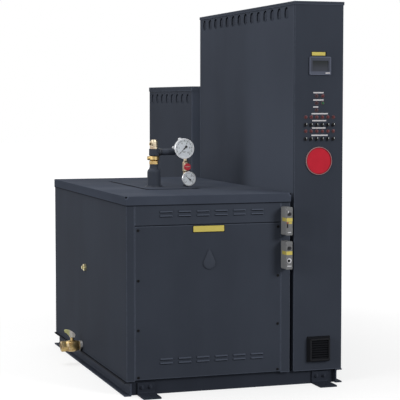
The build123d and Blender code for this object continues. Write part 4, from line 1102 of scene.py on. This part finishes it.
class BOILER_OT_panel_trim(bpy.types.Operator):
    """Adds lamp rings and the pointers of the switches"""

    bl_idname = "boiler.panel_trim"
    bl_label = "Trim the control panel"

    def execute(self, context):
        first = (1 - COLUMN_COUNT) / 2
        columns = [PANEL_MID + (first + k) * COLUMN_PITCH * MM for k in range(COLUMN_COUNT)]
        left, right = PANEL_MID - STATUS_OFFSET * MM, PANEL_MID + STATUS_OFFSET * MM
        lamps = [(x, z) for z in LAMP_ROWS for x in columns]
        # The lowest status row has its left lamp only
        lamps += [(x, z) for z in STATUS_ROWS for x in (left, right)][:-1]
        points = [(at(x, CABINET_FACE - 1.5 * MM, z), FORWARD, 0.0) for x, z in lamps]
        beads("lamp_rings", 8.6, 1.1, 24, points, "ring_rim", "steel")
        marks = Pattern("switch_marks")
        wide = marks.size("Mark width", 2 * MM)
        long = marks.size("Mark length", 8 * MM)
        mark = marks.moved(marks.block(wide, long, 0.6 * MM), 0.0, long * 0.5, 0.1 * MM)
        face = low("selector_switches").y
        points = [(at(x, face, z), FORWARD, 0.0) for z in SWITCH_ROWS for x in columns]
        marks.repeat(mark, points, "pointer_white")
        return {"FINISHED"}


def sweep(share):
    """Angle on a dial at a share of its scale, from the lower left over the top to the lower right."""
    return radians(225 - 270 * share)


def dial_disc(name, origin, radius, rim, crown, finish, slot=None):
    """Dial plate or glass, as thick as its rim at the edge and as its crown in the middle."""
    disc = Shape()
    disc.turn([(0, 0), (radius, 0), (radius, rim), (0, crown)], placed(origin), 64)
    disc.piece(name, finish, slot=slot)


def dial_ticks(node, origin, radius, count):
    """Ticks round a dial, each fifth one longer."""
    marks = Pattern(node + "_ticks")
    long = marks.size("Tick length", radius * 0.14 * MM)
    wide = marks.size("Tick width", radius * 0.036 * MM)
    every = marks.size("Big tick every", 5, "NodeSocketInt")
    rest = marks.maths("MODULO", marks.node("GeometryNodeInputIndex"), every)
    big = marks.maths("LESS_THAN", rest, 0.5)
    scale = marks.vector(0.6 + big * 0.8, 0.55 + big * 0.45, 1.0)
    points = []
    for k in range(count):
        a = sweep(k / (count - 1))
        spot = origin + Vector((cos(a) * radius * 0.86, -0.6, sin(a) * radius * 0.86)) * MM
        points.append((spot, FORWARD, a - pi / 2))
    marks.repeat(marks.block(wide, long, 0.3 * MM), points, "dial_ink", scale)


def dial_numbers(node, origin, radius, numbers, size, unit):
    """Numbers round a dial, and the unit below its middle."""
    places = [(unit, 0.0, -0.34)] if unit else []
    for k, number in enumerate(numbers):
        a = sweep(k / (len(numbers) - 1))
        places.append((number, cos(a) * 0.62, sin(a) * 0.62))
    shape = Shape()
    for words, across, up in places:
        curve = bpy.data.curves.new("number", "FONT")
        curve.body = words
        curve.size = radius * size
        curve.align_x = "CENTER"
        curve.align_y = "CENTER"
        curve.extrude = 0.1
        curve.resolution_u = 2
        text = bpy.data.objects.new("number", curve)
        bpy.context.scene.collection.objects.link(text)
        flat = bpy.data.meshes.new_from_object(text.evaluated_get(bpy.context.evaluated_depsgraph_get()))
        flat.transform(placed(origin + Vector((across * radius, -0.6, up * radius)) * MM))
        shape.bm.from_mesh(flat)
        bpy.data.objects.remove(text)
        bpy.data.meshes.remove(flat)
    shape.piece(node + "_numbers", "dial_ink")


def dial_pointer(node, origin, radius, angle):
    """Pointer with its hub, at an angle from the right."""
    lift = placed(origin + FORWARD * 1.4 * MM) @ Matrix.Rotation(radians(angle - 90), 4, "Z")
    half = [(x * radius, y * radius) for x, y in HALF_POINTER]
    hub = radius * 0.09
    shape = Shape()
    shape.slab(half + [(-x, y) for x, y in reversed(half)], lift, 0.5)
    shape.turn([(0, -0.7), (hub, -0.7), (hub, 0.9), (hub * 0.7, 1.4), (0, 1.4)], lift, 24)
    shape.piece(node + "_pointer", "dial_ink")


class BOILER_OT_dials(bpy.types.Operator):
    """Adds the dials, numbers and pointers of both gauges"""

    bl_idname = "boiler.dials"
    bl_label = "Add the gauge dials"

    def execute(self, context):
        count = context.scene.boiler_panel.tick_count
        across = high("pressure_gauge").x - GAUGE_RADIUS * MM
        up = low("pressure_gauge").z + GAUGE_RADIUS * MM
        small = middle("small_gauge")
        for node, x, z, radius, ticks, numbers, angle, size, unit in (
            ("pressure_gauge", across, up, LARGE_DIAL, count, "0 2 4 6 8 10", 225, 0.29, "bar"),
            ("small_gauge", small.x, small.z, SMALL_DIAL, 41, "0 40 80 120", 140, 0.30, ""),
        ):
            origin = Vector((x, low(node).y + 4 * MM, z))
            dial_disc(node + "_dial", origin, radius, 0.5, 0.5, "dial_enamel", "gauge")
            dial_ticks(node, origin, radius, ticks)
            dial_numbers(node, origin, radius, numbers.split(), size, unit)
            dial_pointer(node, origin, radius, angle)
            window = origin + FORWARD * 3 * MM
            dial_disc(node + "_glass", window, radius + 0.8, 0.7, 0.8, "clear_glass")
        return {"FINISHED"}


class BOILER_OT_limit_faces(bpy.types.Operator):
    """Adds the bands, dials and screws on the limit controls"""

    bl_idname = "boiler.limit_faces"
    bl_label = "Face the limit controls"

    def execute(self, context):
        x, y, side = middle("limit_control_upper").x, LIMIT_FACE, low("limit_control_upper").x
        bands = Shape()
        for z in LIMIT_BANDS:
            bands.plate(at(x, y, z), FORWARD, 33, 19, 0.6, 1)
            bands.plate(at(side, y + 28 * MM, z), LEFTWARD, 50, 19, 0.6, 1)
        bands.plate(at(x + 5 * MM, y, UPPER_TAG), FORWARD, 18, 11, 0.6, 1)
        bands.piece("limit_bands", "plate_yellow")
        dials = Shape()
        dials.turn([(0, 0), (13, 0), (13, 1.2), (12.2, 2), (0, 2)], placed(at(x, y, LOWER_DIAL)))
        dials.plate(at(x, y, LOWER_STRIP), FORWARD, 24, 5, 0.6, 1)
        dials.plate(at(x, y, UPPER_STRIP), FORWARD, 20, 4, 0.6, 1)
        slash = placed(at(x - 8 * MM, y, UPPER_SLASH))
        dials.slab([(-1.5, -9), (2.5, -9), (4.5, 9), (0.5, 9)], slash, 0.6)
        dials.piece("limit_dials", "limit_white")
        buttons = Shape()
        stud = placed(at(x - 2.5 * MM, y - 2 * MM, LOWER_DIAL))
        buttons.turn([(0, 0), (7, 0), (6.4, 3.5), (5.2, 4.2), (0, 4.2)], stud, 32)
        buttons.plate(at(x - 11 * MM, y, UPPER_BUTTON), FORWARD, 5, 20, 2.4, 1.2)
        buttons.plate(at(x + 2 * MM, y, LOWER_BUTTON), FORWARD, 12, 6, 0.8, 1)
        buttons.piece("limit_buttons", "plate_black")
        lamp = Shape()
        place = placed(at(x - 11 * MM, y, UPPER_LAMP))
        lamp.turn([(0, 0), (4.5, 0), (4.2, 2.4), (2.6, 3.6), (0, 4)], place, 32)
        lamp.piece("limit_lamp", "amber")
        points = [
            (at(x + across * MM, y, z), FORWARD, z + 2) for z in LIMIT_ROWS for across in (-13, 13)
        ]
        panel_screws("limit_screws", 2.6 * MM, 1.4 * MM, points, "ring_steel")
        return {"FINISHED"}


class BOILER_OT_pipe_beads(bpy.types.Operator):
    """Adds the fittings' beads and the threads that show beside them"""

    bl_idname = "boiler.pipe_beads"
    bl_label = "Bead the pipe fittings"

    def execute(self, context):
        tee = middle("manifold_pipe").z
        ends = (NOZZLE.x + 31 * MM, RISER.x - 42 * MM)
        turns = [NOZZLE.x + (36 + 1.8 * k) * MM for k in range(6)]
        for piece, radius, wire, places in (
            ("tee_beads", 19.5, 3.2, ends), ("pipe_threads", 18.0, 0.7, turns),
        ):
            points = [(Vector((x, NOZZLE.y, tee)), RIGHTWARD, 0.0) for x in places]
            beads(piece, radius, wire, 36, points)
        return {"FINISHED"}


class BOILER_OT_clip_bolts(bpy.types.Operator):
    """Adds the bolts that hold the floor clips"""

    bl_idname = "boiler.clip_bolts"
    bl_label = "Bolt the floor clips"

    def execute(self, context):
        front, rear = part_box("floor_clips_front"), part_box("floor_clips_rear")
        inset, wall, clip_depth = 46 * MM, 9 * MM, 126 * MM
        points = []
        for x, y, direction, twist in (
            (front[0].x + inset, front[1].y - wall, FORWARD, 0),
            (front[1].x - inset, front[1].y - wall, FORWARD, 1),
            (rear[0].x + inset, rear[0].y + wall, BACKWARD, 0),
            (rear[1].x - inset, rear[1].y - clip_depth + wall, BACKWARD, 1),
        ):
            for across in (-22, 22):
                points.append((at(x + across * MM, y, 42), direction, across * 0.1 + twist))
        hex_nuts("clip_bolts", 17, 9, 0.3, points, "bolt_paint", washer=True)
        return {"FINISHED"}


class BOILER_OT_fan_trim(bpy.types.Operator):
    """Adds the filter mat behind the slats and the hood's screws"""

    bl_idname = "boiler.fan_trim"
    bl_label = "Trim the fan filter"

    def execute(self, context):
        lowest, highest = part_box("fan_grille")
        centre = (lowest + highest) / 2
        wires = Pattern("filter_mat")
        wide = wires.size("Wire length", highest.x - lowest.x - 37 * MM)
        thick = wires.size("Wire thickness", 0.9 * MM)
        depth = lowest.y + 19.2 * MM
        count = 24
        points = []
        for k in range(count):
            along = (k - (count - 1) / 2) * MM
            points.append((Vector((centre.x, depth, centre.z + along * 4.1)), FORWARD, 0.0))
            points.append((Vector((centre.x + along * 4.0, depth + 0.5 * MM, centre.z)), FORWARD, pi / 2))
        wires.repeat(wires.block(wide, thick, thick), points, "filter_mat", slot="black_plastic")
        points = []
        for side in (-1, 1):
            for end in (-1, 1):
                spot = Vector((centre.x + side * 52 * MM, lowest.y, centre.z + end * 53.5 * MM))
                points.append((spot, FORWARD, side + end * 0.4))
        panel_screws("hood_screws", 2.8 * MM, 1.2 * MM, points)
        return {"FINISHED"}


class BOILER_OT_valve_trim(bpy.types.Operator):
    """Adds the lever's nut, the knob's grip, whose pale colour is a painted highlight, and the nozzle's weld
    """

    bl_idname = "boiler.valve_trim"
    bl_label = "Trim the valves"

    def execute(self, context):
        lowest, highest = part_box("drain_lever")
        hub = Vector((highest.x - 17 * MM, (lowest.y + highest.y) / 2, lowest.z + 4 * MM))
        hex_nuts("lever_nut", 13, 5, 0.28, [(hub, UPWARD, 0.4)], "steel_plated", body="drain_lever")
        knob = middle("cock_knob")
        # A raised grip bar on the knob, its paler red a painted highlight
        grip = Shape()
        place = Vector((knob.x, low("cock_knob").y + 0.2 * MM, knob.z + 1.5 * MM))
        grip.plate(place, FORWARD, 24, 5, 3, 2.4, 1.4)
        grip.piece("cock_knob_grip", "knob_grip", "cock_knob", "red_plastic")
        foot = Vector((NOZZLE.x, NOZZLE.y, high("service_plate").z + 0.5 * MM))
        beads("nozzle_weld", 46.0, 2.6, 48, [(foot, UPWARD, 0.0)])
        return {"FINISHED"}


def area_lamp(name, place, target, size, power):
    """Large soft lamp aimed at a point."""
    data = bpy.data.lights.new(name, "AREA")
    data.shape = "RECTANGLE"
    data.size, data.size_y = size
    data.energy = power
    lamp = bpy.data.objects.new(name, data)
    lamp.location = place
    lamp.rotation_euler = (Vector(target) - Vector(place)).to_track_quat("-Z", "Y").to_euler()
    bpy.context.scene.collection.objects.link(lamp)


def studio_floor():
    """White floor that takes soft shadows and fades into the background."""
    bm = bmesh.new()
    bmesh.ops.create_grid(bm, x_segments=2, y_segments=2, size=40)
    mesh = bpy.data.meshes.new("studio_floor")
    bm.to_mesh(mesh)
    bm.free()
    f = Finish("studio_floor", roughness=0.9, specular=0.1)
    f.surface("Base Color", rgba((0.36, 0.36, 0.36)))
    reach = f.node("ShaderNodeVectorMath", {"operation": "LENGTH"}, {0: f.place}, output="Value")
    near, far = (
        f.node("ShaderNodeEmission", None, {"Color": WHITE, "Strength": level}) for level in (0.68, 0.87)
    )
    plain = Term(f, f.shader.outputs[0])
    glow = f.mixed(f.step(reach, 1.6, 4.6), near, far)
    lifted = f.node("ShaderNodeAddShader", None, {0: plain, 1: glow})
    f.feed(f.tree.nodes["Material Output"].inputs["Surface"], f.mixed(f.seen(), plain, lifted))
    mesh.materials.append(f.material)
    floor = bpy.data.objects.new("studio_floor", mesh)
    bpy.context.scene.collection.objects.link(floor)


def studio_world(ambient):
    """World that shows white and lights the boiler with less."""
    world = bpy.data.worlds.new("studio")
    bpy.context.scene.world = world
    world.use_nodes = True
    shop = Shop(world.node_tree)
    dim = shop.tree.nodes["Background"]
    shop.feed(dim.inputs["Color"], WHITE)
    shop.feed(dim.inputs["Strength"], ambient)
    white = shop.node("ShaderNodeBackground", None, {"Color": WHITE, "Strength": 1.0})
    mixed = shop.mixed(shop.seen(), Term(shop, dim.outputs[0]), white)
    shop.feed(shop.tree.nodes["World Output"].inputs["Surface"], mixed)


class BOILER_OT_stage(bpy.types.Operator):
    """Sets the floor, the lights, the world and the camera"""

    bl_idname = "boiler.stage"
    bl_label = "Set the stage"

    def execute(self, context):
        scene = context.scene
        stage = scene.boiler_stage
        scene.view_settings.view_transform = "Standard"
        studio_floor()
        studio_world(stage.ambient)
        for name, (place, target, size) in LAMPS.items():
            area_lamp(name, place, target, size, getattr(stage, name))
        data = bpy.data.cameras.new("view")
        data.lens = stage.lens
        data.sensor_width = 36.0
        data.shift_y = CAMERA_SHIFT
        data.clip_end = 100.0
        camera = bpy.data.objects.new("view", data)
        camera.location = CAMERA_PLACE
        camera.rotation_euler = [radians(angle) for angle in CAMERA_TURN]
        scene.collection.objects.link(camera)
        scene.camera = camera
        return {"FINISHED"}


class BOILER_PT_panel(bpy.types.Panel):
    """Lists the boiler's operators"""

    bl_label = "Boiler"
    bl_idname = "BOILER_PT_panel"
    bl_space_type = "VIEW_3D"
    bl_region_type = "UI"
    bl_category = "Boiler"

    def draw(self, context):
        for operator in OPERATORS:
            self.layout.operator(operator.bl_idname)
        for group, _ in GROUPS:
            settings = getattr(context.scene, group)
            for name in settings.bl_rna.properties.keys():
                if name not in ("rna_type", "name"):
                    self.layout.prop(settings, name)


OPERATORS = (
    BOILER_OT_housing,
    BOILER_OT_pull,
    BOILER_OT_skid,
    BOILER_OT_fittings,
    BOILER_OT_screws,
    BOILER_OT_plates,
    BOILER_OT_panel_trim,
    BOILER_OT_dials,
    BOILER_OT_limit_faces,
    BOILER_OT_pipe_beads,
    BOILER_OT_clip_bolts,
    BOILER_OT_fan_trim,
    BOILER_OT_valve_trim,
    BOILER_OT_stage,
)
GROUPS = (
    ("boiler_paint", BoilerPaint),
    ("boiler_metals", BoilerMetals),
    ("boiler_panel", BoilerPanel),
    ("boiler_stage", BoilerStage),
)


def register():
    """Registers the settings, the operators and the panel."""
    for name, group in GROUPS:
        bpy.utils.register_class(group)
        setattr(bpy.types.Scene, name, PointerProperty(type=group))
    for operator in OPERATORS:
        bpy.utils.register_class(operator)
    bpy.utils.register_class(BOILER_PT_panel)


def unregister():
    """Takes them away again."""
    bpy.utils.unregister_class(BOILER_PT_panel)
    for operator in reversed(OPERATORS):
        bpy.utils.unregister_class(operator)
    for name, group in reversed(GROUPS):
        delattr(bpy.types.Scene, name)
        bpy.utils.unregister_class(group)


def main():
    """Dresses the boiler."""
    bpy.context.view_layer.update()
    register()
    bpy.ops.boiler.housing()
    bpy.ops.boiler.pull()
    bpy.ops.boiler.skid()
    bpy.ops.boiler.fittings()
    bpy.ops.boiler.screws()
    bpy.ops.boiler.plates()
    bpy.ops.boiler.panel_trim()
    bpy.ops.boiler.dials()
    bpy.ops.boiler.limit_faces()
    bpy.ops.boiler.pipe_beads()
    bpy.ops.boiler.clip_bolts()
    bpy.ops.boiler.fan_trim()
    bpy.ops.boiler.valve_trim()
    bpy.ops.boiler.stage()


if __name__ == "__main__":
    main()
